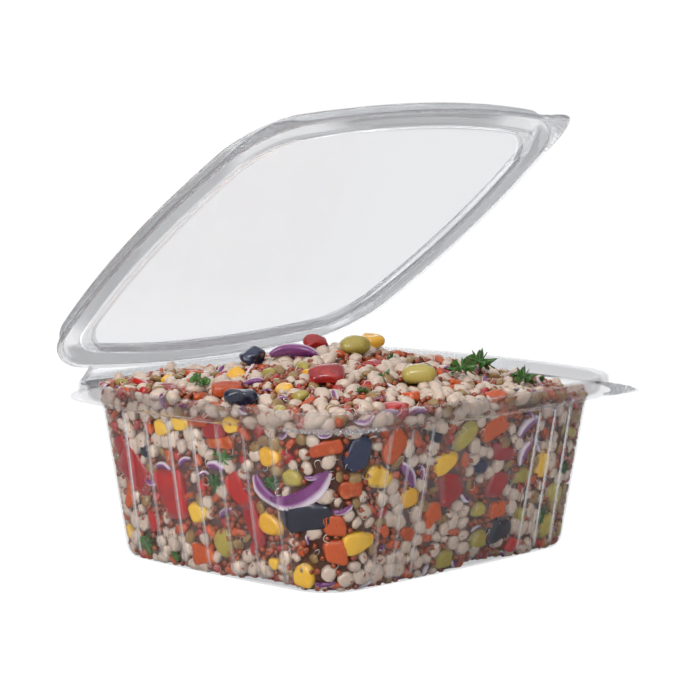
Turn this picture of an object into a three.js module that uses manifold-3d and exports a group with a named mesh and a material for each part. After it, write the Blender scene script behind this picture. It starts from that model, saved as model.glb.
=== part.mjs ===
// Clear hinged deli box, lid part open, heaped with a mixed grain salad.
// Millimetres, +Z up. The origin is the centre of the box's underside, and the hinge runs along +Y.
// Box and lid are formed sheet; the salad is one uneven heap with larger toppings resting on it.

import * as THREE from 'three';
import { mergeVertices } from 'three/addons/utils/BufferGeometryUtils.js';
import Module from 'manifold-3d';

const wasm = await Module();
wasm.setup();

// Driving dimensions of the box and lid
const SHEET = 0.7;
const FLANGE_TOP = 61.4;
const RIM_TOP = 67.5;
const HINGE_Y = 92;
const HINGE_HALF = 56;
const HINGE_BARREL = 0.6;
const LID_OPEN_DEG = 37.4;
const GAP = 0.3;

// An outline is a rounded rectangle with bowed sides: half length a, half depth b at mid side,
// corner radius r, and how far the sides bow out.
const FOOT = { a: 68.3, b: 57, r: 14, bow: 2 };
const WALL_LOW = { a: 71, b: 59.8, r: 16, bow: 2 };
const WALL_HIGH = { a: 80, b: 71.5, r: 18, bow: 6 };
const BEAD = { a: 88.2, b: 79.4, r: 16.3, bow: 9.4 };
const LID_PANEL = { a: 77, b: 71.2, r: 17, bow: 6.6 };
const ARC_STEPS = 4;
const SIDE_STEPS = 6;

// Ribs pressed into the walls, and the ears on the two front corners
const RIB_LOW_Z = 3.4;
const RIB_HIGH_Z = 57.6;
const RIB_FOOT_WIDTH = 3.2;
const RIB_CREST_WIDTH = 1.5;
const RIB_PROUD = 0.9;
const END_RIB_PITCH = 13;
const END_RIB_COUNT = 7;
const SIDE_RIB_X = [30, 40, 50];
const EAR_TIP = [80, -79];

// The heap
const CORE_INSET = 1.6;
const HEAP_EDGE = 63.2;
const HEAP_RISE = 16.2;
const HEAP_RADIUS_X = 86;
const HEAP_RADIUS_Y = 80;
const CORNER_HOLLOW = { x: 58, y: 47, depth: 6.5, spread: 17 };
const TROUGH = { across: -46, depth: 2.8, spread: 14 };
const SEED = 20417;
const CORE_ARC_STEPS = 3;
const CORE_SIDE_STEPS = 5;

function grown(shape, grow) {
  return { a: shape.a + grow, b: shape.b + grow, r: shape.r + grow, bow: shape.bow };
}

function outline(shape, arcSteps = ARC_STEPS, sideSteps = SIDE_STEPS) {
  const cornerX = shape.a - shape.bow;
  const cornerY = shape.b - shape.bow;
  const centreX = cornerX - shape.r;
  const centreY = cornerY - shape.r;
  const points = [];
  for (let quarter = 0; quarter < 4; quarter += 1) {
    const signX = quarter === 0 || quarter === 3 ? 1 : -1;
    const signY = quarter < 2 ? 1 : -1;
    for (let step = 0; step <= arcSteps; step += 1) {
      const turn = (quarter + step / arcSteps) * Math.PI / 2;
      const x = signX * centreX + shape.r * Math.cos(turn);
      const y = signY * centreY + shape.r * Math.sin(turn);
      points.push([x, y]);
    }
    const alongX = quarter % 2 === 0;
    const [startX, startY] = points[points.length - 1];
    const endX = alongX ? -startX : startX;
    const endY = alongX ? startY : -startY;
    for (let step = 1; step < sideSteps; step += 1) {
      const part = step / sideSteps;
      points.push([startX + (endX - startX) * part, startY + (endY - startY) * part]);
    }
  }
  return points.map(([x, y]) => [
    x + shape.bow * (x / cornerX) * (1 - (y / cornerY) ** 2),
    y + shape.bow * (y / cornerY) * (1 - (x / cornerX) ** 2),
  ]);
}

// Rows of points that follow the stations, moved along the sheet's normal: positive is outside and under
function offsetRows(stations, distance, arcSteps, sideSteps) {
  return stations.map((station, index) => {
    const before = stations[index - 1];
    const after = stations[index + 1] ?? station;
    const run = before ? after.a - before.a : 1;
    const rise = before ? after.z - before.z : 0;
    const length = Math.hypot(run, rise);
    const z = station.z - distance * run / length;
    const shape = grown(station, distance * rise / length);
    return outline(shape, arcSteps, sideSteps).map(([x, y]) => new THREE.Vector3(x, y, z));
  });
}

function signedVolume(positions, indices) {
  const a = new THREE.Vector3();
  const b = new THREE.Vector3();
  const c = new THREE.Vector3();
  let volume = 0;
  for (let i = 0; i < indices.length; i += 3) {
    a.fromArray(positions, indices[i] * 3);
    b.fromArray(positions, indices[i + 1] * 3);
    c.fromArray(positions, indices[i + 2] * 3);
    volume += a.dot(b.cross(c));
  }
  return volume / 6;
}

// A closed surface through rows of equal length, with a fan over the first and the last row.
// From the row turnFrom on the rows run back down, so their quads split along the other diagonal.
function loft(rows, turnFrom = rows.length) {
  const count = rows[0].length;
  const positions = rows.flat().flatMap((point) => point.toArray());
  const indices = [];
  for (let row = 0; row < rows.length - 1; row += 1) {
    for (let i = 0; i < count; i += 1) {
      const low = row * count + i;
      const lowNext = row * count + (i + 1) % count;
      const [first, last] = row < turnFrom ? [low, lowNext + count] : [lowNext, low + count];
      indices.push(low, lowNext, last);
      indices.push(first, lowNext + count, low + count);
    }
  }
  for (const [row, turned] of [[0, true], [rows.length - 1, false]]) {
    const centre = new THREE.Vector3();
    rows[row].forEach((point) => centre.addScaledVector(point, 1 / count));
    const hub = positions.length / 3;
    positions.push(...centre.toArray());
    for (let i = 0; i < count; i += 1) {
      const rim = [row * count + i, row * count + (i + 1) % count];
      indices.push(hub, rim[turned ? 1 : 0], rim[turned ? 0 : 1]);
    }
  }
  if (signedVolume(positions, indices) < 0) {
    indices.reverse();
  }
  const geometry = new THREE.BufferGeometry();
  geometry.setAttribute('position', new THREE.Float32BufferAttribute(positions, 3));
  geometry.setIndex(indices);
  return geometry;
}

function toSolid(geometry) {
  const bare = geometry.clone();
  bare.deleteAttribute('normal');
  bare.deleteAttribute('uv');
  const merged = mergeVertices(bare, 1e-4);
  return new wasm.Manifold(new wasm.Mesh({
    numProp: 3,
    vertProperties: new Float32Array(merged.attributes.position.array),
    triVerts: new Uint32Array(merged.index.array),
  }));
}

function toGeometry(solid) {
  const mesh = solid.getMesh();
  const geometry = new THREE.BufferGeometry();
  geometry.setAttribute('position', new THREE.BufferAttribute(mesh.vertProperties, 3));
  geometry.setIndex(new THREE.BufferAttribute(mesh.triVerts, 1));
  return geometry;
}

// The largest body of a solid: sealed hollows are filled and loose scraps are dropped
function largestBody(solid) {
  const bodies = solid.decompose();
  return bodies.reduce((best, body) => (body.volume() > best.volume() ? body : best));
}

function formedSheet(stations) {
  const outside = offsetRows(stations, SHEET / 2);
  const inside = offsetRows(stations, -SHEET / 2).reverse();
  return toSolid(loft([...outside, ...inside], outside.length));
}

function slab(points, lowZ, thickness) {
  const shape = new THREE.Shape(points.map(([x, y]) => new THREE.Vector2(x, y)));
  const geometry = new THREE.ExtrudeGeometry(shape, { depth: thickness, bevelEnabled: false });
  return toSolid(geometry.translate(0, 0, lowZ));
}

// Mid-line of the box's sheet, from the floor out to the flange's lip
const flangeMid = FLANGE_TOP - SHEET / 2;
const tubStations = [
  { ...FOOT, z: SHEET / 2 },
  { ...grown(FOOT, 2), z: 1.2 },
  { ...WALL_LOW, z: RIB_LOW_Z },
  { ...WALL_HIGH, z: RIB_HIGH_Z },
  { a: 81.4, b: 72.8, r: 18, bow: 6.6, z: 59.2 },
  { ...grown(BEAD, -2.2), z: 60.8 },
  { ...grown(BEAD, -1.5), z: RIM_TOP - 1.1 },
  { ...BEAD, z: RIM_TOP - SHEET / 2 },
  { ...grown(BEAD, 0.9), z: RIM_TOP - 0.9 },
  { ...grown(BEAD, 1.4), z: FLANGE_TOP + 0.8 },
  { ...grown(BEAD, 1.9), z: flangeMid },
  { ...grown(BEAD, 4.2), z: flangeMid },
];

// Mid-line of the lid's sheet when shut, with heights above the underside of its flange
const lidStations = [
  { ...LID_PANEL, z: 1.75 },
  { a: 81.2, b: 74.2, r: 19, bow: 8, z: 0 },
  { ...grown(BEAD, -4.6), z: 0 },
  { ...grown(BEAD, -3.6), z: 0.8 },
  { ...grown(BEAD, -2.5), z: 5.6 },
  { ...BEAD, z: 6.65 },
  { ...grown(BEAD, 2.3), z: 5.6 },
  { ...grown(BEAD, 2.9), z: 1.1 },
  { ...grown(BEAD, 3.4), z: SHEET / 2 },
  { ...grown(BEAD, 5.4), z: SHEET / 2 },
];

// Outline points on the flange's middle that pass a test, which flat additions grow out of
function flangeRun(stations, keep) {
  const lip = stations[stations.length - 1];
  return outline(grown(lip, -1)).filter(([x, y]) => keep(x, y));
}

// A pointed ear that squares out a front corner, on the side that sign gives
function ear(stations, sign) {
  const inner = flangeRun(stations, (x, y) => x * sign > 58 && y < -50);
  inner.sort((one, two) => (one[0] - two[0]) * sign + one[1] - two[1]);
  const [tipX, tipY] = EAR_TIP;
  const outer = [
    [88.8, -53],
    [88.6, -61],
    [86.4, -70],
    [tipX + 3, tipY + 3],
    [tipX + 0.8, tipY + 0.6],
    [tipX - 1.4, tipY],
    [74, -79.8],
    [68, -79.2],
    [62, -79.8],
  ].map(([x, y]) => [x * sign, y]);
  return [...inner, ...outer];
}

// The tongue that carries the flange out to the hinge line, ending short of it by shortfall
function hingeTongue(stations, shortfall) {
  const run = flangeRun(stations, (x, y) => Math.abs(x) < HINGE_HALF && y > 0);
  run.sort((one, two) => one[0] - two[0]);
  const edgeY = HINGE_Y - shortfall;
  const corner = 4;
  const outer = [
    [HINGE_HALF, HINGE_Y - 9],
    [HINGE_HALF, edgeY - corner],
    [HINGE_HALF - 1.2, edgeY - 1.2],
    [HINGE_HALF - corner, edgeY],
  ];
  const mirrored = outer.map(([x, y]) => [-x, y]).reverse();
  return [...run, ...outer, ...mirrored];
}

// Half length of an end wall at depth y, or of a side wall at length x, for a given outline
function wallReach(shape, across, isEnd) {
  const half = (isEnd ? shape.a : shape.b) - shape.bow;
  const other = (isEnd ? shape.b : shape.a) - shape.bow;
  return half + shape.bow * (1 - (across / other) ** 2);
}

// One rib: a tapered ridge outside the wall, from the foot's bend to the ledge
function rib(across, sign, isEnd) {
  const sunk = 0.1;
  const rows = [[WALL_LOW, RIB_LOW_Z], [WALL_HIGH, RIB_HIGH_Z]].map(([shape, z]) => {
    const face = wallReach(shape, across, isEnd);
    const section = [
      [face + sunk, -RIB_FOOT_WIDTH / 2],
      [face + SHEET / 2 + RIB_PROUD, -RIB_CREST_WIDTH / 2],
      [face + SHEET / 2 + RIB_PROUD, RIB_CREST_WIDTH / 2],
      [face + sunk, RIB_FOOT_WIDTH / 2],
    ];
    return section.map(([out, along]) => (isEnd
      ? new THREE.Vector3(sign * out, across + along, z)
      : new THREE.Vector3(across + along, sign * out, z)));
  });
  return toSolid(loft(rows));
}

function makeTub() {
  let solid = formedSheet(tubStations);
  const half = (END_RIB_COUNT - 1) / 2;
  for (const sign of [-1, 1]) {
    for (let i = 0; i < END_RIB_COUNT; i += 1) {
      solid = solid.add(rib((i - half) * END_RIB_PITCH, sign, true));
    }
    for (const x of SIDE_RIB_X) {
      solid = solid.add(rib(x, sign, false)).add(rib(-x, sign, false));
    }
    solid = solid.add(slab(ear(tubStations, sign), FLANGE_TOP - SHEET, SHEET));
  }
  const tongue = slab(hingeTongue(tubStations, 0), FLANGE_TOP - SHEET, SHEET);
  const barrel = new THREE.CylinderGeometry(HINGE_BARREL, HINGE_BARREL, 2 * (HINGE_HALF - 4), 10);
  barrel.rotateZ(Math.PI / 2).translate(0, HINGE_Y, FLANGE_TOP);
  return largestBody(solid.add(tongue).add(toSolid(barrel)));
}

function makeLid() {
  let solid = formedSheet(lidStations);
  for (const sign of [-1, 1]) {
    solid = solid.add(slab(ear(lidStations, sign), 0, SHEET));
  }
  solid = solid.add(slab(hingeTongue(lidStations, HINGE_BARREL + GAP), 0, SHEET));
  return largestBody(solid);
}

// Height of the bare heap: highest in the middle, low towards +X, with a hollow in the back corner
function heapHeight(x, y) {
  const reach = Math.sqrt((x / HEAP_RADIUS_X) ** 2 + (y / HEAP_RADIUS_Y) ** 2 + 0.02);
  const tilt = -2.2 * (x / 80) + 0.6 * (y / 72);
  const away = (x - CORNER_HOLLOW.x) ** 2 + (y - CORNER_HOLLOW.y) ** 2;
  const hollow = CORNER_HOLLOW.depth * Math.exp(-away / (2 * CORNER_HOLLOW.spread ** 2));
  const across = 0.69 * x - 0.72 * y;
  const trough = TROUGH.depth * Math.exp(-(((across - TROUGH.across) / TROUGH.spread) ** 2));
  const lumps = 0.7 * Math.sin(x / 9 + 1.3) * Math.cos(y / 8 - 0.4) + 0.4 * Math.sin((x + y) / 5);
  return HEAP_EDGE + tilt + HEAP_RISE * Math.max(0, 1.05 - reach) - hollow - trough + lumps;
}

// The heap without its pieces, standing off the sheet by the inset, its top raised by lift
function makeCore(inset, lift) {
  const wallStations = tubStations.slice(0, 6);
  const rows = offsetRows(wallStations, -(SHEET / 2 + inset), CORE_ARC_STEPS, CORE_SIDE_STEPS);
  const edge = rows[rows.length - 1];
  for (const share of [0.96, 0.82, 0.66, 0.5, 0.34, 0.18]) {
    rows.push(edge.map((point) => {
      const x = point.x * share;
      const y = point.y * share;
      return new THREE.Vector3(x, y, heapHeight(x, y) + lift);
    }));
  }
  return toSolid(loft(rows));
}

// All the room inside the box, clear of the sheet, carried on above the rim
function makeRoom() {
  const rows = offsetRows(tubStations.slice(0, 7), -(SHEET / 2 + GAP));
  const rim = rows[rows.length - 1];
  rows.push(rim.map((point) => new THREE.Vector3(point.x, point.y, RIM_TOP + 30)));
  return toSolid(loft(rows));
}

function seededRandom(seed) {
  let state = seed;
  return () => {
    state = (state + 0x6d2b79f5) | 0;
    let mixed = Math.imul(state ^ (state >>> 15), 1 | state);
    mixed = (mixed + Math.imul(mixed ^ (mixed >>> 7), 61 | mixed)) ^ mixed;
    return ((mixed ^ (mixed >>> 14)) >>> 0) / 4294967296;
  };
}
const random = seededRandom(SEED);

// Shapes of the loose pieces: size is length, width and height
function ovalPiece([length, width, height], faces) {
  const ball = faces > 20 ? new THREE.OctahedronGeometry(0.5, 1) : new THREE.IcosahedronGeometry(0.5, 0);
  return ball.scale(length, width, height);
}

function kernelPiece([length, width, height]) {
  const kernel = new THREE.CylinderGeometry(0.5, 0.3, 1, 6);
  return kernel.rotateZ(Math.PI / 2).scale(length, width, height);
}

function dicePiece([length, width, height]) {
  return new THREE.BoxGeometry(length, width, height);
}

// A curved strip of onion or pepper: an arc of a ring, thin across
function stripPiece([length, width, height], bendDeg, steps) {
  const bend = THREE.MathUtils.degToRad(bendDeg);
  const radius = length / bend;
  const rows = [];
  for (let step = 0; step <= steps; step += 1) {
    const turn = (step / steps - 0.5) * bend;
    const taper = 1 - 0.45 * Math.abs(2 * step / steps - 1) ** 3;
    const section = [[-1, -1], [1, -1], [1, 1], [-1, 1]];
    rows.push(section.map(([side, up]) => {
      const r = radius + side * width / 2;
      return new THREE.Vector3(r * Math.sin(turn), r * Math.cos(turn) - radius, up * height / 2 * taper);
    }));
  }
  return loft(rows);
}

// A thin curly leaf on a stalk: a wavy sheet with both faces split alike
function leafPiece(length, width, thickness, curl) {
  const lobes = 5;
  const edge = [];
  const steps = 15;
  for (let step = 0; step < steps; step += 1) {
    const turn = (step / steps) * 2 * Math.PI;
    const lobe = 1 + 0.28 * Math.cos(lobes * turn);
    edge.push([Math.cos(turn) * lobe * length / 2, Math.sin(turn) * lobe * width / 2]);
  }
  const wave = (x, y) => curl * (Math.sin(x * 0.9 + y * 0.5) + 0.6 * Math.cos(y * 1.1)) + 0.03 * (x * x + y * y);
  const sheetRow = (share, lift) => edge.map(([x, y]) => {
    const px = x * share;
    const py = y * share;
    return new THREE.Vector3(px, py, wave(px, py) + lift);
  });
  const half = thickness / 2;
  return loft([sheetRow(0.5, -half), sheetRow(1, -half), sheetRow(1, half), sheetRow(0.5, half)]);
}

const KINDS = {
  pepper: { size: [12, 9, 4.5], make: dicePiece },
  olive: { size: [12, 9, 8], make: (size) => ovalPiece(size, 32) },
  edamame: { size: [12, 8.6, 7.4], make: (size) => ovalPiece(size, 32) },
  carrot: { size: [13, 5, 4], make: dicePiece },
  corn: { size: [8.5, 8, 5.5], make: kernelPiece },
  grain: { size: [6.2, 4.6, 4], make: (size) => ovalPiece(size, 20) },
};

// Toppings that rest on the heap: centre in plan, turn in degrees, height of centre over the heap
const GREEN = 0x3f6b2c;
const TOPPINGS = [
  { name: 'onion_strip', at: [-21, 7], turn: -50, up: 3.4, tilt: 42, color: 0x7a4a6d,
    make: () => stripPiece([19, 2.6, 5], 80, 4) },
  { name: 'olive_back', at: [-29, 21], turn: 20, up: 2.4, tilt: 10, color: 0x2a2833,
    make: () => ovalPiece([12, 9, 8], 32) },
  { name: 'pepper_top', at: [-38, -27], turn: -44, up: 1.4, tilt: 24, color: 0xb5261a,
    make: () => dicePiece([13, 9, 4]) },
  { name: 'pepper_back', at: [-6, 11], turn: -30, up: 2.4, tilt: 30, color: 0xb5261a,
    make: () => dicePiece([9, 6, 3.4]) },
  { name: 'edamame_back', at: [-3, -7], turn: -25, up: 2, tilt: 0, color: 0x9a9a45,
    make: () => ovalPiece([12, 8.6, 7.6], 32) },
  { name: 'corn_back', at: [12, -3], turn: -40, up: 2.6, tilt: 12, color: 0xdfa82c,
    make: () => kernelPiece([9, 8.4, 5.8]) },
  { name: 'edamame_front', at: [-11, -47], turn: -40, up: 1.8, tilt: 8, color: 0x9a9a45,
    make: () => ovalPiece([13, 9, 7.6], 32) },
  { name: 'olive_front', at: [-74, -19], turn: -50, up: 1, tilt: 12, color: 0x2a2833,
    make: () => ovalPiece([12.5, 6, 6.5], 32) },
  { name: 'carrot_front', at: [-66, -4], turn: -30, up: 1.6, tilt: 20, color: 0xd9662a,
    make: () => dicePiece([11, 6, 4.4]) },
  { name: 'parsley_back', at: [38, -34], turn: -40, up: 3.2, tilt: 34, color: GREEN,
    make: () => leafPiece(14, 11, 1, 0.8) },
  { name: 'parsley_middle', at: [13, -46], turn: -60, up: 3, tilt: 30, color: GREEN,
    make: () => leafPiece(12, 10, 1, 0.8) },
  { name: 'parsley_front', at: [42, -53], turn: -30, up: 3, tilt: 32, color: GREEN,
    make: () => leafPiece(12, 10, 1, 0.8) },
  { name: 'parsley_left', at: [-65, 12], turn: 12, up: 2.6, tilt: 24, color: GREEN,
    make: () => leafPiece(9, 8, 1, 0.7) },
];

function placed(geometry, position, turnZ, tiltDeg) {
  const tilted = geometry.rotateX(THREE.MathUtils.degToRad(tiltDeg));
  const turned = tilted.rotateZ(THREE.MathUtils.degToRad(turnZ));
  return turned.translate(position.x, position.y, position.z);
}

function toppingPlace(topping) {
  const [x, y] = topping.at;
  return new THREE.Vector3(x, y, heapHeight(x, y) + topping.up);
}

function makeTopping(topping, keepOff) {
  const whole = placed(topping.make(), toppingPlace(topping), topping.turn, topping.tilt);
  return largestBody(toSolid(whole).subtract(keepOff));
}

// Places on the heap's top, spread evenly by the spacing rule
function topPlace() {
  const share = Math.sqrt(random());
  const turn = random() * 2 * Math.PI;
  const x = share * Math.cos(turn) * 80;
  const y = share * Math.sin(turn) * 71;
  const corner = Math.abs(x / 80) ** 4 + Math.abs(y / 71) ** 4 > 0.96;
  return corner ? null : new THREE.Vector3(x * 1.06, y * 1.06, heapHeight(x * 1.06, y * 1.06) + 0.9);
}

// Places on the four walls, just inside the sheet
function wallPlace(depth) {
  const share = 0.06 + 0.9 * random();
  const z = RIB_LOW_Z + (RIB_HIGH_Z - RIB_LOW_Z) * share;
  const mix = (key) => WALL_LOW[key] + (WALL_HIGH[key] - WALL_LOW[key]) * share;
  const shape = grown({ a: mix('a'), b: mix('b'), r: mix('r'), bow: mix('bow') }, -depth);
  const isEnd = random() < 0.45;
  const limit = isEnd ? shape.b : shape.a;
  const across = (random() * 2 - 1) * (limit - shape.r * 0.75);
  const sign = random() < 0.5 ? -1 : 1;
  const out = sign * (wallReach(shape, across, isEnd) - (Math.abs(across) > limit - shape.r - shape.bow ? 2 : 0));
  return new THREE.Vector3(isEnd ? out : across, isEnd ? across : out, z);
}

const PIECE_PLAN = [
  { kind: 'pepper', top: 5, wall: 9 },
  { kind: 'olive', top: 3, wall: 5 },
  { kind: 'edamame', top: 6, wall: 8 },
  { kind: 'carrot', top: 7, wall: 6 },
  { kind: 'corn', top: 9, wall: 9 },
  { kind: 'grain', top: 76, wall: 24 },
];

function makeSalad(core, room) {
  const taken = TOPPINGS.map((topping) => ({ at: toppingPlace(topping), reach: 8.6 }));
  let solid = core;
  for (const plan of PIECE_PLAN) {
    const kind = KINDS[plan.kind];
    const reach = kind.size[0] / 2;
    for (const [place, wanted, flat] of [[topPlace, plan.top, false], [wallPlace, plan.wall, true]]) {
      let found = 0;
      for (let trial = 0; trial < 900 && found < wanted; trial += 1) {
        const at = place(kind.size[2] * 0.42 + SHEET);
        const clear = at && taken.every((other) => at.distanceTo(other.at) > (reach + other.reach) * 0.86);
        if (clear) {
          const vary = 0.85 + 0.3 * random();
          const piece = kind.make(kind.size.map((side) => side * vary));
          const turned = flat
            ? piece.rotateX(random() * 0.5).rotateY(random() * Math.PI)
            : piece.rotateX((random() - 0.5) * 0.9).rotateZ(random() * Math.PI);
          const facing = flat && Math.abs(at.x) / 76 > Math.abs(at.y) / 66;
          const stood = facing ? turned.rotateZ(Math.PI / 2) : turned;
          solid = solid.add(toSolid(stood.translate(at.x, at.y, at.z)));
          taken.push({ at, reach: reach * vary });
          found += 1;
        }
      }
    }
  }
  return largestBody(solid.intersect(room));
}

const clearPlastic = new THREE.MeshStandardMaterial({
  color: 0xe9edee, roughness: 0.06, metalness: 0, transparent: true, opacity: 0.35,
});
const saladMaterial = new THREE.MeshStandardMaterial({ color: 0xb08c66, roughness: 0.5, metalness: 0 });

const deliBox = new THREE.Group();

function addMesh(name, solid, material, parent = deliBox) {
  const mesh = new THREE.Mesh(toGeometry(solid), material);
  mesh.name = name;
  parent.add(mesh);
  return mesh;
}

addMesh('tub', makeTub(), clearPlastic);

const lidHinge = new THREE.Group();
lidHinge.position.set(0, HINGE_Y, FLANGE_TOP);
lidHinge.rotation.x = -THREE.MathUtils.degToRad(LID_OPEN_DEG);
deliBox.add(lidHinge);
addMesh('lid', makeLid(), clearPlastic, lidHinge).position.set(0, -HINGE_Y, 0);

addMesh('salad', makeSalad(makeCore(CORE_INSET, 0), makeRoom()), saladMaterial);

const keepOff = makeCore(CORE_INSET - GAP, GAP);
for (const topping of TOPPINGS) {
  const finish = new THREE.MeshStandardMaterial({ color: topping.color, roughness: 0.4, metalness: 0 });
  addMesh(topping.name, makeTopping(topping, keepOff), finish);
}

export default deliBox;
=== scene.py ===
"""A clear hinged meal box heaped with mixed grain salad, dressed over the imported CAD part."""

from __future__ import annotations

import logging
import math
from dataclasses import dataclass, field
from enum import Enum
from typing import Callable, Iterable, Sequence

import bpy
import numpy as np
from mathutils import Matrix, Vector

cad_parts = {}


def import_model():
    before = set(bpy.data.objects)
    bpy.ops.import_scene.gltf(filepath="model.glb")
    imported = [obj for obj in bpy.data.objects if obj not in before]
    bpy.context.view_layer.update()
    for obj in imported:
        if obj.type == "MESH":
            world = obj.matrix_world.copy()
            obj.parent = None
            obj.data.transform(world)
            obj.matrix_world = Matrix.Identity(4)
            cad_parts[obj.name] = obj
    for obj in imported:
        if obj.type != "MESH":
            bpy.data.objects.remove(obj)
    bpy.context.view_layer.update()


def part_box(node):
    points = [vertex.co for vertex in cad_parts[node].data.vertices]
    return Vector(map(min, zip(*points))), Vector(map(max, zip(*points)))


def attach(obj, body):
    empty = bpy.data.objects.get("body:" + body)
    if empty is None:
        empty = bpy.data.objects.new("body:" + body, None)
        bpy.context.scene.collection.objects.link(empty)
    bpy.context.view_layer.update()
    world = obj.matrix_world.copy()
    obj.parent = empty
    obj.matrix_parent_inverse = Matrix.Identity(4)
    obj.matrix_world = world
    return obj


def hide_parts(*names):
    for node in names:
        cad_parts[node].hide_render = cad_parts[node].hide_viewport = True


LOG = logging.getLogger("meal_box")
MM = 0.001
BOX_BODY = "box"
LID_BODY = "lid"
TINT = "tint"

# Sizes shared with the CAD part, in mm
SHEET = 0.7
FLANGE_TOP = 61.4
HINGE_Y = 92.0
HINGE_HALF = 56.0
LID_OPEN_DEG = 37.4
LID_EDGE_GAP = 0.9
DOT_SINK = 0.12


class Kind(Enum):
    """A kind of chopped food, with the material slot that it belongs to."""

    CORN = "sweetcorn"
    EDAMAME = "edamame"
    OLIVE = "olive"
    PEPPER = "red_pepper"
    CARROT = "carrot"
    ONION = "red_onion"
    PARSLEY = "parsley"


class Side(Enum):
    """A wall of the box, named as the camera sees it."""

    LEFT = (-1, 0)
    FRONT = (0, -1)
    RIGHT = (1, 0)
    BACK = (0, 1)


def rgb(code: str) -> tuple[float, float, float, float]:
    """Turns a web colour into a linear one.

    Args:
        code: Six hex digits.

    Returns:
        Linear red, green, blue and an alpha of 1.
    """
    parts = [int(code[i : i + 2], 16) / 255 for i in (0, 2, 4)]
    linear = [p / 12.92 if p <= 0.04045 else ((p + 0.055) / 1.055) ** 2.4 for p in parts]
    return (linear[0], linear[1], linear[2], 1.0)


def _operator(operation: str, flipped: bool = False) -> Callable[[Value, object], Value]:
    """Args:
        operation: What the Math node does.
        flipped: Whether the other value comes first.

    Returns:
        The method of Value for it.
    """

    def method(self: Value, other: object) -> Value:
        """Applies the operation to this value and the other."""
        pair = (other, self) if flipped else (self, other)
        return self.graph.add("Math", {"operation": operation}, dict(enumerate(pair))).out(0)

    return method


@dataclass(frozen=True, eq=False)
class Value:
    """A node socket that takes part in Python arithmetic."""

    graph: Graph
    socket: bpy.types.NodeSocket

    __add__, __radd__ = _operator("ADD"), _operator("ADD", True)
    __sub__, __rsub__ = _operator("SUBTRACT"), _operator("SUBTRACT", True)
    __mul__, __rmul__ = _operator("MULTIPLY"), _operator("MULTIPLY", True)
    __truediv__, __rtruediv__ = _operator("DIVIDE"), _operator("DIVIDE", True)
    __pow__, __lt__ = _operator("POWER"), _operator("LESS_THAN")

    def between(self, low: float, high: float) -> Value:
        """Maps low..high onto 0..1, held at both ends."""
        limits = {"Value": self, "From Min": low, "From Max": high}
        return self.graph.add("MapRange", {"clamp": True}, limits).out(0)


@dataclass(frozen=True)
class Added:
    """A node that was added to a graph."""

    graph: Graph
    node: bpy.types.Node

    def out(self, key: int | str) -> Value:
        """Gives an output by name or number."""
        return Value(self.graph, self.node.outputs[key])


@dataclass(frozen=True, eq=False)
class Graph:
    """A shader or geometry node tree that is built from Python.

    Attributes:
        tree: The tree to build in.
        prefix: What the names of its node types start with.
    """

    tree: bpy.types.NodeTree
    prefix: str = "ShaderNode"

    @staticmethod
    def emptied(owner: bpy.types.Material | bpy.types.World) -> Graph:
        """Args:
            owner: A material or world.

        Returns:
            Its node tree, without any nodes.
        """
        owner.use_nodes = True
        owner.node_tree.nodes.clear()
        return Graph(owner.node_tree)

    def add(self, kind: str, settings: dict | None = None, inputs: dict | None = None) -> Added:
        """Adds a node.

        Args:
            kind: Node type without its prefix, or in full if it starts with a plus sign.
            settings: Attributes of the node.
            inputs: Values or outputs for its inputs, by name or number.

        Returns:
            The node.
        """
        shared = kind in ("Math", "MapRange", "Mix", "CombineXYZ", "SeparateXYZ", "TexNoise")
        full = ("ShaderNode" if shared else self.prefix) + kind
        node = self.tree.nodes.new(kind[1:] if kind.startswith("+") else full)
        for key, setting in (settings or {}).items():
            setattr(node, key, setting)
        for key, given in (inputs or {}).items():
            if isinstance(given, Value):
                self.tree.links.new(given.socket, node.inputs[key])
            else:
                node.inputs[key].default_value = given
        return Added(self, node)

    def blend(self, factor: Value | float, first: object, second: object) -> Value:
        """Mixes two colours: factor 0 is the first and 1 the second."""
        return self.add("Mix", {"data_type": "RGBA"}, {0: factor, 6: first, 7: second}).out(2)

    def either(self, factor: Value, first: Value, second: Value) -> Value:
        """Mixes two shaders: factor 0 is the first and 1 the second."""
        return self.add("MixShader", {}, {0: factor, 1: first, 2: second}).out(0)

    def draw(self, seed: Value, low: object, high: object) -> Value:
        """Gives each point a random value from low to high."""
        kind = "+FunctionNodeRandomValue"
        return self.add(kind, {"data_type": "FLOAT"}, {2: low, 3: high, "Seed": seed}).out(1)


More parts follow.
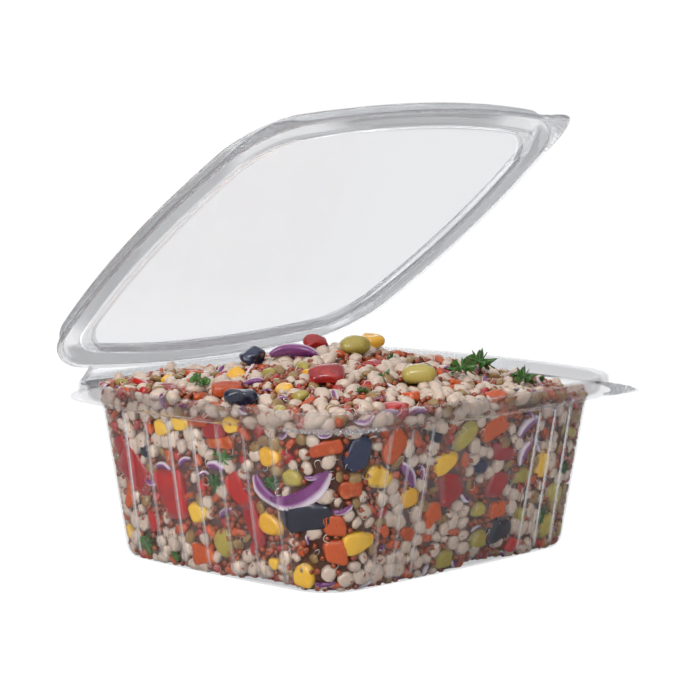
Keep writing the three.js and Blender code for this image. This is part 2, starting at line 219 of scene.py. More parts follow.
@dataclass(frozen=True)
class FoodFinish:
    """The look of a food: three colours that its pieces vary between, and its sheen."""

    name: str
    main: str
    second: str
    third: str
    roughness: float = 0.38
    coat: float = 0.25
    glow: float = 0.12
    mottle: float = 0.3
    grain: float = 420.0
    bump: float = 0.25
    second_range: tuple[float, float] = (0.15, 0.75)
    third_range: tuple[float, float] = (0.7, 1.05)
    bump_depth: float = 0.0004
    coat_roughness: float = 0.18
    glow_radius: tuple[float, float, float] = (1.0, 0.6, 0.4)
    glow_depth: float = 0.0015

    def material(self) -> bpy.types.Material:
        """Returns:
            The finished material.
        """
        material = bpy.data.materials.new(self.name)
        graph = Graph.emptied(material)
        tint = graph.add("Attribute", {"attribute_name": TINT}).out("Fac")
        place = graph.add("TexCoord").out("Object")
        cloud = graph.add("TexNoise", {}, {"Vector": place, "Scale": self.grain, "Detail": 3.0}).out(0)
        fine = graph.add("TexNoise", {}, {"Vector": place, "Scale": self.grain * 4, "Detail": 2.0}).out(0)
        shift = tint + (cloud - 0.5) * (self.mottle * 2)
        pair = graph.blend(shift.between(*self.second_range), rgb(self.main), rgb(self.second))
        colour = graph.blend(shift.between(*self.third_range), pair, rgb(self.third))
        height = cloud * 0.6 + fine * 0.4
        bump = graph.add("Bump", {}, {"Height": height, "Strength": self.bump, "Distance": self.bump_depth})
        gloss = (cloud - 0.5) * 0.25 + self.roughness
        shader = graph.add(
            "BsdfPrincipled",
            {},
            {
                "Base Color": colour,
                "Roughness": gloss,
                "Normal": bump.out(0),
                "Coat Weight": self.coat,
                "Coat Roughness": self.coat_roughness,
                "Subsurface Weight": self.glow,
                "Subsurface Radius": self.glow_radius,
                "Subsurface Scale": self.glow_depth,
            },
        )
        graph.add("OutputMaterial", {}, {"Surface": shader.out(0)})
        return material


@dataclass(frozen=True)
class ClearFinish:
    """Clear thin plastic, that lets shadow rays through."""

    name: str = "clear_plastic"
    colour: str = "FDFEFE"
    roughness: float = 0.025
    ior: float = 1.46
    thinness: float = 0.12
    flatness: float = 0.8
    # The pane greys what shows through the see-through share of the sheet; the lid's darker pane is painted
    # shade.
    pane: tuple[float, float, float, float] = (0.95, 0.952, 0.957, 1.0)
    shadow: tuple[float, float, float, float] = (0.93, 0.935, 0.94, 1.0)
    wave_scale: float = 55.0
    wave_strength: float = 0.06

    def material(self) -> bpy.types.Material:
        """Returns:
            The finished material.
        """
        material = bpy.data.materials.new(self.name)
        graph = Graph.emptied(material)
        place = graph.add("TexCoord").out("Object")
        wave = graph.add("TexNoise", {}, {"Vector": place, "Scale": self.wave_scale, "Detail": 2.0}).out(0)
        bump = graph.add("Bump", {}, {"Height": wave, "Strength": self.wave_strength, "Distance": MM})
        glass = graph.add(
            "BsdfPrincipled",
            {},
            {
                "Base Color": rgb(self.colour),
                "Roughness": self.roughness,
                "IOR": self.ior,
                "Transmission Weight": 1.0,
                "Normal": bump.out(0),
            },
        )
        plain = graph.add("BsdfTransparent", {}, {"Color": self.pane})
        flat = graph.add("Attribute", {"attribute_name": TINT}).out("Fac")
        sheet = graph.either(flat * self.flatness + self.thinness, glass.out(0), plain.out(0))
        through = graph.add("BsdfTransparent", {}, {"Color": self.shadow})
        mixed = graph.either(graph.add("LightPath").out("Is Shadow Ray"), sheet, through.out(0))
        graph.add("OutputMaterial", {}, {"Surface": mixed})
        return material


FINISHES: dict[str, FoodFinish] = {
    "barley": FoodFinish("barley", "D2BCAA", "A47C68", "885640", 0.25, 0.5, 0.3, 0.5, 420, 0.2),
    "lentil": FoodFinish("lentil", "98794C", "6C5130", "B89A70", 0.3, 0.4, 0.15, 0.35, 500, 0.2),
    "quinoa": FoodFinish("quinoa", "964420", "632611", "BE8050", 0.22, 0.6, 0.15, 0.3, 900, 0.15),
    "germ": FoodFinish("germ", "EFE2D2", "DFC8AE", "C9A37C", 0.4, 0.2, 0.1, 0.2, 900, 0.1),
    # The bed finish colours the salad core, which shows only in the gaps between the loose grains; its dark
    # browns are painted shade for the shade that falls down those gaps.
    "bed": FoodFinish("bed", "55301F", "7A5644", "3C1C10", 0.5, 0.1, 0.0, 1.0, 260, 0.8),
    Kind.CORN.value: FoodFinish("corn", "F2C244", "E7A92C", "F8DA78", 0.24, 0.5, 0.25, 0.4, 260, 0.12),
    Kind.EDAMAME.value: FoodFinish("edamame", "B7A553", "9C8D3C", "DCC98A", 0.28, 0.4, 0.25, 0.4, 240, 0.12),
    Kind.OLIVE.value: FoodFinish("olive", "262C48", "191820", "42303E", 0.2, 0.6, 0.0, 0.4, 240, 0.2),
    Kind.PEPPER.value: FoodFinish("pepper", "BC2219", "8E141A", "D4452B", 0.2, 0.6, 0.15, 0.45, 220, 0.2),
    Kind.CARROT.value: FoodFinish("carrot", "CC5A26", "B04418", "DF8448", 0.3, 0.4, 0.15, 0.45, 380, 0.25),
    Kind.ONION.value: FoodFinish("onion", "DFD0D8", "8E4F8A", "6A2A66", 0.22, 0.5, 0.3, 0.25, 130, 0.12),
    Kind.PARSLEY.value: FoodFinish(
        "parsley", "44742C", "2C521E", "6F9A48", 0.36, 0.25, 0.08, 0.4, 420, 0.35
    ),
}


@dataclass(frozen=True)
class Cloud:
    """A smooth random field made of a few seeded waves."""

    seed: int
    wavelength: float
    waves: int = 7

    def at(self, points: np.ndarray) -> np.ndarray:
        """Args:
            points: An (n, 3) array in mm.

        Returns:
            An (n, 3) array of values from about -1 to 1.
        """
        random = np.random.default_rng(self.seed)
        total = np.zeros_like(points, dtype=float)
        for _ in range(self.waves):
            heading = random.normal(size=3)
            heading *= random.uniform(0.7, 1.4) * 2 * math.pi / (self.wavelength * np.linalg.norm(heading))
            phase = random.uniform(0, 2 * math.pi, 3)
            total += np.sin((points @ heading)[:, None] + phase[None, :])
        return total / math.sqrt(self.waves)


@dataclass
class Body:
    """Vertices and faces in mm, with one tint value a vertex."""

    points: np.ndarray
    faces: list[tuple[int, ...]]
    tint: np.ndarray

    @staticmethod
    def joined(bodies: Sequence[Body]) -> Body:
        """Args:
            bodies: What to join.

        Returns:
            All of them as one.
        """
        faces: list[tuple[int, ...]] = []
        start = 0
        for body in bodies:
            faces.extend(tuple(i + start for i in face) for face in body.faces)
            start += len(body.points)
        points = np.concatenate([b.points for b in bodies])
        return Body(points, faces, np.concatenate([b.tint for b in bodies]))

    def to_object(self, name: str, smooth: bool = True) -> bpy.types.Object:
        """Args:
            name: Name of the piece.
            smooth: Whether its shading is smooth.

        Returns:
            A mesh object at the origin.
        """
        mesh = bpy.data.meshes.new(name)
        mesh.from_pydata((self.points * MM).tolist(), [], self.faces)
        mesh.polygons.foreach_set("use_smooth", [smooth] * len(mesh.polygons))
        attribute = mesh.attributes.new(TINT, "FLOAT", "POINT")
        attribute.data.foreach_set("value", self.tint.astype(np.float32))
        mesh.update()
        return linked(name, mesh)


def linked(name: str, data: bpy.types.ID) -> bpy.types.Object:
    """Args:
        name: Name of the object.
        data: Its mesh, light or camera.

    Returns:
        A new object in the scene.
    """
    made = bpy.data.objects.new(name, data)
    bpy.context.scene.collection.objects.link(made)
    return made


def remove(*made: bpy.types.Object) -> None:
    """Removes helper objects that are no longer needed."""
    for helper in made:
        bpy.data.objects.remove(helper)


def read_points(made: bpy.types.Object) -> np.ndarray:
    """Args:
        made: A mesh object.

    Returns:
        Its vertices in mm.
    """
    flat = np.zeros(len(made.data.vertices) * 3, np.float32)
    made.data.vertices.foreach_get("co", flat)
    return flat.reshape(-1, 3).astype(float) / MM


def write_points(made: bpy.types.Object, points: np.ndarray) -> None:
    """Sets the vertices of a mesh object, from mm."""
    made.data.vertices.foreach_set("co", (points * MM).astype(np.float32).ravel())
    made.data.update()


def dress(
    made: bpy.types.Object, material: bpy.types.Material, body: str, nodes: Sequence[str]
) -> bpy.types.Object:
    """Gives a piece its finish, its body and the CAD nodes that it stands for.

    Args:
        made: The piece.
        material: Its finish.
        body: The CAD body that it rides on.
        nodes: The CAD nodes that it replaces.

    Returns:
        The piece.
    """
    made.data.materials.clear()
    made.data.materials.append(material)
    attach(made, body)
    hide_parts(*nodes)
    LOG.info("%s: %d faces, rides on %s", made.name, len(made.data.polygons), body)
    return made


@dataclass(frozen=True)
class Outline:
    """A rounded rectangle whose sides bow outwards."""

    half_x: float
    half_y: float
    radius: float
    bow: float

    def grown(self, by: float) -> Outline:
        """Moves each side out by this much."""
        return Outline(self.half_x + by, self.half_y + by, self.radius + by, self.bow)

    def at(self, height: float) -> tuple[float, float, float, float, float]:
        """Gives the station of a formed sheet that has this outline at a height."""
        return (self.half_x, self.half_y, self.radius, self.bow, height)


FOOT = Outline(68.3, 57.0, 14.0, 2.0)
WALL_LOW = Outline(71.0, 59.8, 16.0, 2.0)
WALL_HIGH = Outline(80.0, 71.5, 18.0, 6.0)
SHOULDER = Outline(81.4, 72.8, 18.0, 6.6)
BEAD = Outline(88.2, 79.4, 16.3, 9.4)
LID_PANEL = Outline(77.0, 71.2, 17.0, 6.6)
LID_STEP = Outline(81.2, 74.2, 19.0, 8.0)
EAR = (
    *((88.8, -53.0), (88.6, -61.0), (86.4, -70.0), (83.0, -76.0), (80.8, -78.4)),
    *((78.6, -79.0), (74.0, -79.8), (68.0, -79.2), (62.0, -79.8)),
)

WALL_STATIONS = (
    FOOT.grown(2).at(1.2),
    WALL_LOW.at(3.4),
    WALL_HIGH.at(57.6),
    SHOULDER.at(59.2),
    BEAD.grown(-2.2).at(60.8),
    BEAD.grown(-1.5).at(66.4),
)
TUB_STATIONS = (
    FOOT.at(0.35),
    *WALL_STATIONS,
    BEAD.at(67.15),
    BEAD.grown(0.9).at(66.6),
    BEAD.grown(1.4).at(62.2),
    BEAD.grown(1.9).at(61.05),
    BEAD.grown(4.2).at(61.05),
)
LID_STATIONS = (
    LID_PANEL.at(1.75),
    LID_STEP.at(0.0),
    BEAD.grown(-4.6).at(0.0),
    BEAD.grown(-3.6).at(0.8),
    BEAD.grown(-2.5).at(5.6),
    BEAD.at(6.65),
    BEAD.grown(2.3).at(5.6),
    BEAD.grown(2.9).at(1.1),
    BEAD.grown(3.4).at(0.35),
    BEAD.grown(5.4).at(0.35),
)


def smooth_step(value: np.ndarray) -> np.ndarray:
    """Holds values to 0..1 and softens both ends."""
    held = np.clip(value, 0.0, 1.0)
    return held * held * (3 - 2 * held)


@dataclass(frozen=True)
class Ribs:
    """Upright flutes pressed into the walls, centred on these places."""

    end_places: tuple[float, ...] = tuple(13.0 * i for i in range(-3, 4))
    side_places: tuple[float, ...] = (-50.0, -40.0, -30.0, 30.0, 40.0, 50.0)
    foot_half: float = 1.6
    crest_half: float = 0.45
    rise: float = 0.9
    low: float = 2.4
    high: float = 58.6
    fade: float = 2.4

    def push(self, distance: np.ndarray) -> np.ndarray:
        """Gives 0 beside a rib and 1 on its crest, from the distance to its centre line."""
        return smooth_step((self.foot_half - distance) / (self.foot_half - self.crest_half))

    def along(self, height: np.ndarray) -> np.ndarray:
        """Gives how much of a rib there is at each height."""
        return smooth_step((height - self.low) / self.fade) * smooth_step((self.high - height) / self.fade)


class Columns:
    """The upright lines of a formed sheet, the same for all its outlines."""

    OFFSETS = (-2.1, -1.6, -1.3, -1.0, -0.7, -0.35, 0.0, 0.35, 0.7, 1.0, 1.3, 1.6, 2.1)
    END_REACH = 40.9
    SIDE_REACH = 52.0

    def __init__(self, ribs: Ribs, arc_steps: int = 18, spacing: float = 2.6) -> None:
        """Args:
            ribs: The ribs that lines are gathered round.
            arc_steps: Lines in each rounded corner.
            spacing: Distance between lines away from the ribs.
        """
        self.ribs = ribs
        self.arc = np.linspace(0, math.pi / 2, arc_steps + 2)[1:-1]
        self.end_marks = self._marks(self.END_REACH, ribs.end_places, spacing)
        self.side_marks = self._marks(self.SIDE_REACH, ribs.side_places, spacing)

    def _marks(self, reach: float, places: Sequence[float], spacing: float) -> np.ndarray:
        """Places the lines of one side, close together at its ribs.

        Args:
            reach: Half the length that they cover.
            places: The ribs of that side.
            spacing: Distance between lines elsewhere.

        Returns:
            The lines in order.
        """
        close = [p + o for p in places for o in self.OFFSETS if abs(p + o) < reach - 0.15]
        count = round(2 * reach / spacing)
        plain = [p for p in np.linspace(-reach, reach, count)[1:-1] if min(abs(p - c) for c in places) > 2.6]
        return np.array(sorted([-reach, reach, *close, *plain]))

    @staticmethod
    def _stretched(marks: np.ndarray, straight: float) -> np.ndarray:
        """Adds lines between the last mark and the corner.

        Args:
            marks: The lines of one side.
            straight: Half the length of its straight part.

        Returns:
            The lines with four more at each end.
        """
        low = np.linspace(-straight, marks[0], 5)[:-1]
        high = np.linspace(marks[-1], straight, 5)[1:]
        return np.concatenate([low, marks, high])

    def ring(self, station: np.ndarray) -> np.ndarray:
        """Args:
            station: half_x, half_y, radius, bow and height.

        Returns:
            The points of that outline, anticlockwise from the +X side.
        """
        half_x, half_y, radius, bow, _ = station
        corner_x, corner_y = half_x - bow, half_y - bow
        straight_x, straight_y = corner_x - radius, corner_y - radius
        ends = self._stretched(self.end_marks, straight_y)
        sides = self._stretched(self.side_marks, straight_x)
        near, far = radius * np.cos(self.arc), radius * np.sin(self.arc)
        right, back = np.full(len(ends), corner_x), np.full(len(sides), corner_y)
        x_parts = [right, straight_x + near, sides[::-1], -straight_x - far]
        x_parts += [-right, -straight_x - near, sides, straight_x + far]
        y_parts = [ends, straight_y + far, back, straight_y + near]
        y_parts += [ends[::-1], -straight_y - far, -back, -straight_y - near]
        x, y = np.concatenate(x_parts), np.concatenate(y_parts)
        out_x = x + bow * (x / corner_x) * (1 - (y / corner_y) ** 2)
        out_y = y + bow * (y / corner_y) * (1 - (x / corner_x) ** 2)
        return np.stack([out_x, out_y], 1)

    def rib_push(self) -> np.ndarray:
        """Returns:
            The direction that each column is pushed in by a rib, of length 0 to 1.
        """
        ends = self._stretched(self.end_marks, self.END_REACH + 2)
        sides = self._stretched(self.side_marks, self.SIDE_REACH + 2)
        corner = np.zeros((len(self.arc), 2))
        end_gap = np.abs(ends[:, None] - np.array(self.ribs.end_places)).min(1)
        side_gap = np.abs(sides[:, None] - np.array(self.ribs.side_places)).min(1)
        end_push = np.stack([self.ribs.push(end_gap), np.zeros(len(ends))], 1)
        side_push = np.stack([np.zeros(len(sides)), self.ribs.push(side_gap)], 1)
        return np.concatenate(
            [end_push, corner, side_push[::-1], corner, -end_push[::-1], corner, -side_push, corner]
        )


def eased(stations: Sequence[Sequence[float]], cut: float, steps: int, longest: float) -> np.ndarray:
    """Rounds the corners of a run of stations and fills in its long stretches.

    Args:
        stations: The corners of the section.
        cut: How far from a corner its rounding starts.
        steps: Rows in each rounding.
        longest: Longest step between rows.

    Returns:
        The stations of all rows.
    """
    given = np.array(stations, float)
    rows = [given[0]]
    for before, here, after in zip(given, given[1:], given[2:]):
        into, out = here - before, after - here
        length_in, length_out = np.hypot(into[0], into[4]), np.hypot(out[0], out[4])
        reach = min(cut, 0.45 * length_in, 0.45 * length_out)
        start, end = here - into * reach / length_in, here + out * reach / length_out
        for t in np.linspace(0, 1, steps):
            rows.append((1 - t) ** 2 * start + 2 * t * (1 - t) * here + t * t * end)
    rows.append(given[-1])
    filled = [rows[0]]
    for before, here in zip(rows, rows[1:]):
        length = math.hypot(here[0] - before[0], here[4] - before[4])
        count = max(1, math.ceil(length / longest))
        filled.extend(before + (here - before) * (i + 1) / count for i in range(count))
    return np.array(filled)


@dataclass
class FormedSheet:
    """A thin sheet formed to a run of outlines, with ears at its front corners and a hinge tongue."""

    stations: Sequence[Sequence[float]]
    hinge_reach: float
    lip_start: float
    ribbed: bool
    columns: Columns = field(default_factory=lambda: Columns(Ribs()))
    thickness: float = SHEET
    cut: float = 1.1
    fillet_steps: int = 4
    longest: float = 3.2
    floor_rows: tuple[float, ...] = (0.02, 0.25, 0.5, 0.7, 0.85, 0.94, 0.985)

    def _ear_line(self) -> np.ndarray:
        """Rounds the corners of the ear's outline.

        Returns:
            The rounded line.
        """
        line = np.array(EAR)
        for _ in range(2):
            first, second = line[:-1], line[1:]
            inner = np.stack([first * 0.75 + second * 0.25, first * 0.25 + second * 0.75], 1)
            line = np.concatenate([line[:1], inner.reshape(-1, 2), line[-1:]])
        return line

    def edge(self) -> tuple[np.ndarray, np.ndarray]:
        """Returns:
            The last outline, and the same with the ears and the tongue.
        """
        last = np.array(self.stations[-1], float)
        plain = self.columns.ring(last)
        shaped = plain.copy()
        half_x, half_y, radius, bow, _ = last
        middle = np.array([half_x - bow - radius, -(half_y - bow - radius)])
        line = self._ear_line()
        for i, (x, y) in enumerate(plain):
            if y > 0 and abs(x) < HINGE_HALF:
                shaped[i] = (x, self.hinge_reach)
            elif y < middle[1] + 2 and abs(x) > middle[0] - 4:
                shaped[i] = self._meet(middle, np.array([abs(x), y]), line) * (math.copysign(1, x), 1)
        return plain, shaped

    @staticmethod
    def _meet(middle: np.ndarray, point: np.ndarray, line: np.ndarray) -> np.ndarray:
        """Finds where a ray from the middle of a corner meets the ear's outline.

        Args:
            middle: Where the ray starts.
            point: What it passes through.
            line: The ear's outline.

        Returns:
            The meeting place, or the point itself if that lies further out.
        """
        ray = point - middle
        best = 1.0
        for start, end in zip(line, line[1:]):
            along = end - start
            cross = ray[0] * along[1] - ray[1] * along[0]
            if abs(cross) < 1e-9:
                continue
            gap = start - middle
            reach = (gap[0] * along[1] - gap[1] * along[0]) / cross
            share = (gap[0] * ray[1] - gap[1] * ray[0]) / cross
            if -1e-6 <= share <= 1 + 1e-6 and reach > best:
                best = reach
        return middle + ray * best

    def middle(self) -> np.ndarray:
        """Returns:
            The middle of the sheet as rows of columns of points.
        """
        rows = eased(self.stations, self.cut, self.fillet_steps, self.longest)
        plain, shaped = self.edge()
        push = self.columns.rib_push() * self.columns.ribs.rise
        sheets = []
        first = self.columns.ring(rows[0])
        for share in self.floor_rows:
            flat = first * share
            sheets.append(np.column_stack([flat, np.full(len(flat), rows[0][4])]))
        lip_end = rows[-1][0]
        for row in rows:
            flat = self.columns.ring(row)
            if self.ribbed:
                flat = flat + push * self.columns.ribs.along(np.array(row[4]))
            if row[0] > self.lip_start and abs(row[4] - rows[-1][4]) < 0.01:
                flat = flat + (shaped - plain) * (row[0] - self.lip_start) / (lip_end - self.lip_start)
            sheets.append(np.column_stack([flat, np.full(len(flat), row[4])]))
        return np.array(sheets)

    def body(self) -> Body:
        """Returns:
            The closed sheet with both its faces and its cut edge.
        """
        middle = self.middle()
        down = np.gradient(middle, axis=0)
        around = np.roll(middle, -1, 1) - np.roll(middle, 1, 1)
        normal = np.cross(around, down)
        normal /= np.maximum(np.linalg.norm(normal, axis=2, keepdims=True), 1e-9)
        normal[-1] = (0, 0, math.copysign(1, normal[-1, :, 2].mean()))
        rows, columns, _ = middle.shape
        outer = (middle + normal * self.thickness / 2).reshape(-1, 3)
        inner = (middle - normal * self.thickness / 2).reshape(-1, 3)
        index = np.arange(rows * columns).reshape(rows, columns)
        after = np.roll(index, -1, 1)
        quads = np.stack([index[:-1], after[:-1], after[1:], index[1:]], -1).reshape(-1, 4)
        shift = rows * columns
        turned = quads[:, ::-1] + shift
        rim = np.stack([index[-1], after[-1], after[-1] + shift, index[-1] + shift], -1)
        centre = 2 * shift
        cap = [(int(b), int(a), centre) for a, b in zip(index[0], after[0])]
        lid = [(int(a) + shift, int(b) + shift, centre + 1) for a, b in zip(index[0], after[0])]
        middle_of = [outer[:columns].mean(0), inner[:columns].mean(0)]
        points = np.concatenate([outer, inner, np.array(middle_of)])
        faces = [tuple(f) for f in np.concatenate([quads, turned, rim]).tolist()]
        return Body(points, faces + cap + lid, np.zeros(len(points)))

    def on_ribs(self, points: np.ndarray) -> np.ndarray:
        """Args:
            points: Points of the sheet.

        Returns:
            1 on the flank or crest of a rib and 0 elsewhere.
        """
        ribs = self.columns.ribs
        x, y, z = np.abs(points.T)
        end_gap = np.abs(points[:, 1][:, None] - np.array(ribs.end_places)).min(1)
        side_gap = np.abs(points[:, 0][:, None] - np.array(ribs.side_places)).min(1)
        is_end = x - WALL_HIGH.half_x > y - WALL_HIGH.half_y
        gap = np.where(is_end, end_gap, side_gap)
        return smooth_step((ribs.foot_half + 0.5 - gap) / 0.4) * ribs.along(z)

    @staticmethod
    def from_side(points: np.ndarray) -> np.ndarray:
        """Gives how far outside the bead's outline each point lies, on the nearer axis."""
        x, y, _ = np.abs(points.T)
        return np.maximum(x - BEAD.half_x, y - BEAD.half_y)

    def ear_patch(self, height: float) -> Body:
        """Args:
            height: Height of the top of the ears.

        Returns:
            A flat patch over both ears, for the stipple to stand on.
        """
        plain, shaped = self.edge()
        grown = np.linalg.norm(shaped - plain, axis=1)
        base = plain * 0.978
        tip = plain + (shaped - plain) * 0.82
        faces = []
        for i in range(len(plain)):
            j = (i + 1) % len(plain)
            if plain[i][1] < 0 and min(grown[i], grown[j]) > 0.15:
                faces.append((2 * i, 2 * i + 1, 2 * j + 1, 2 * j))
        flat = np.stack([base, tip], 1).reshape(-1, 2)
        points = np.column_stack([flat, np.full(len(flat), height)])
        return Body(points, faces, np.zeros(len(points)))


@dataclass
class Stipple:
    """Low round dots pressed into the ears for grip."""

    pitch: float = 1.35
    radius: float = 0.55
    seed: int = 4

    def build(self, patch: Body, name: str, material: bpy.types.Material) -> bpy.types.Object:
        """Args:
            patch: Where the dots stand.
            name: Name of the piece.
            material: Its finish.

        Returns:
            All the dots as one mesh.
        """
        dot = small_ball(self.radius, 8, 5).to_object(name + "_dot")
        bed = patch.to_object(name + "_bed")
        spread = Spread(self.pitch, self.seed, tilt=0.0, low=0.95, high=1.05)
        made = spread.build(bed, dot, None, name, material)
        made.data.attributes[TINT].data.foreach_set("value", [0.0] * len(made.data.vertices))
        remove(dot, bed)
        return made


@dataclass
class Tub:
    """The tray of the box, with its ribbed walls, rolled bead, flange and hinge crease."""

    crease_half: float = 52.0
    crease_radius: float = 0.55
    clearness: float = 0.95
    lip_radius: float = 3.2
    sheet: FormedSheet = field(
        default_factory=lambda: FormedSheet(TUB_STATIONS, HINGE_Y, BEAD.half_x + 2.9, True)
    )

    def build(self, material: bpy.types.Material) -> None:
        """Args:
            material: The clear plastic.
        """
        body = self.sheet.body()
        body.tint = (1 - self.sheet.on_ribs(body.points)) * self.clearness
        body.tint *= smooth_step((self.lip_radius - self.sheet.from_side(body.points)) / 0.8)
        crease = rod(self.crease_half, self.crease_radius)
        crease.points += np.array([0.0, HINGE_Y, FLANGE_TOP])
        dots = Stipple().build(self.sheet.ear_patch(FLANGE_TOP - DOT_SINK), "tub_ear_dots", material)
        for made in (body.to_object("tub_shell"), crease.to_object("hinge_crease"), dots):
            dress(made, material, BOX_BODY, ["tub"])


@dataclass
class Lid:
    """The domed lid, part open about the crease at the back."""

    panel_level: float = 0.9
    panel_half_x: float = 79.0
    panel_half_y: float = 73.0
    panel_edge: float = 1.04
    panel_blend: float = 0.06
    band_clearness: float = 0.35
    sheet: FormedSheet = field(
        default_factory=lambda: FormedSheet(
            LID_STATIONS, HINGE_Y - LID_EDGE_GAP, BEAD.half_x + 4.0, False, cut=0.9
        )
    )

    @staticmethod
    def opened(points: np.ndarray) -> np.ndarray:
        """Args:
            points: Points of the shut lid, with heights over the flange.

        Returns:
            The same on the lid as it stands open.
        """
        angle = -math.radians(LID_OPEN_DEG)
        x, y, z = points[:, 0], points[:, 1] - HINGE_Y, points[:, 2]
        turned_y = y * math.cos(angle) - z * math.sin(angle)
        turned_z = y * math.sin(angle) + z * math.cos(angle)
        return np.column_stack([x, turned_y + HINGE_Y, turned_z + FLANGE_TOP])

    def build(self, material: bpy.types.Material) -> None:
        """Args:
            material: The clear plastic.
        """
        body = self.sheet.body()
        x, y, z = np.abs(body.points.T)
        inside = np.maximum(x / self.panel_half_x, y / self.panel_half_y)
        clear = smooth_step((self.panel_edge - inside) / self.panel_blend) * (z > self.panel_level)
        body.tint = np.maximum(clear, self.band_clearness)
        body.points = self.opened(body.points)
        patch = self.sheet.ear_patch(SHEET - DOT_SINK)
        patch.points = self.opened(patch.points)
        dots = Stipple(seed=5).build(patch, "lid_ear_dots", material)
        for made in (body.to_object("lid_shell"), dots):
            dress(made, material, LID_BODY, ["lid"])


def band_faces(rings: int, sides: int) -> list[tuple[int, ...]]:
    """Args:
        rings: Rings of points, one after the other.
        sides: Points in each.

    Returns:
        The faces between them.
    """
    faces: list[tuple[int, ...]] = []
    for i in range(rings - 1):
        for j in range(sides):
            a, b = i * sides + j, i * sides + (j + 1) % sides
            faces.append((a, b, b + sides, a + sides))
    return faces


def small_ball(radius: float, around: int, up: int) -> Body:
    """Args:
        radius: Its radius.
        around: Points round it.
        up: Bands from pole to pole.

    Returns:
        A ball of few faces.
    """
    points = [(0.0, 0.0, radius)]
    for i in range(1, up):
        polar = math.pi * i / up
        for j in range(around):
            turn = 2 * math.pi * (j + 0.5 * (i % 2)) / around
            wide = radius * math.sin(polar)
            points.append((wide * math.cos(turn), wide * math.sin(turn), radius * math.cos(polar)))
    points.append((0.0, 0.0, -radius))
    last = len(points) - 1
    faces: list[tuple[int, ...]] = []
    for j in range(around):
        k = (j + 1) % around
        faces.append((0, 1 + j, 1 + k))
        base = 1 + (up - 2) * around
        faces.append((base + k, base + j, last))
        for i in range(up - 2):
            low, high = 1 + i * around, 1 + (i + 1) * around
            faces.append((low + j, high + j, high + k, low + k))
    return Body(np.array(points), faces, np.zeros(len(points)))


def rod(half: float, radius: float, sides: int = 12) -> Body:
    """Args:
        half: Half its length along X.
        radius: Its radius.
        sides: Its number of sides.

    Returns:
        A closed rod.
    """
    turns = np.linspace(0, 2 * math.pi, sides, endpoint=False)
    ring = np.stack([np.zeros(sides), np.cos(turns) * radius, np.sin(turns) * radius], 1)
    left, right = ring + (-half, 0, 0), ring + (half, 0, 0)
    caps = [tuple(range(sides))[::-1], tuple(range(sides, 2 * sides))]
    return Body(np.concatenate([left, right]), caps + band_faces(2, sides), np.zeros(2 * sides))


def curl(radius: float, tube: float, turn: float, steps: int = 9, sides: int = 4) -> Body:
    """Args:
        radius: Radius of the curl.
        tube: Thickness of the thread at its middle.
        turn: How far it goes round, in radians.
        steps: Rings along it.
        sides: Sides of the thread.

    Returns:
        A short curled thread that lies flat.
    """
    points = []
    for i in range(steps):
        share = i / (steps - 1)
        angle = turn * share
        thick = tube * (0.35 + 0.65 * math.sin(math.pi * min(max(share, 0.03), 0.97)))
        for j in range(sides):
            side = 2 * math.pi * j / sides
            reach = radius + thick * math.cos(side)
            lift = thick * math.sin(side) + 0.25 * radius * share
            points.append((reach * math.cos(angle), reach * math.sin(angle), lift))
    faces = band_faces(steps, sides)
    faces.append(tuple(range(sides))[::-1])
    faces.append(tuple(range((steps - 1) * sides, steps * sides)))
    return Body(np.array(points), faces, np.zeros(len(points)))


def cube_ball(cuts: int) -> tuple[np.ndarray, list[tuple[int, ...]]]:
    """Args:
        cuts: Faces along each edge of the cube that the ball is blown from.

    Returns:
        Unit vectors, and the faces between them.
    """
    places: dict[tuple[int, int, int], int] = {}
    faces: list[tuple[int, ...]] = []
    for axis in range(3):
        for end in (0, cuts):
            for i in range(cuts):
                for j in range(cuts):
                    quad = []
                    for u, v in ((i, j), (i + 1, j), (i + 1, j + 1), (i, j + 1)):
                        spot = [0, 0, 0]
                        spot[axis], spot[(axis + 1) % 3], spot[(axis + 2) % 3] = end, u, v
                        quad.append(places.setdefault((spot[0], spot[1], spot[2]), len(places)))
                    faces.append(tuple(quad if end else quad[::-1]))
    grid = np.array(list(places), float) / cuts * 2 - 1
    bent = np.tan(grid * math.pi / 4)
    return bent / np.linalg.norm(bent, axis=1, keepdims=True), faces


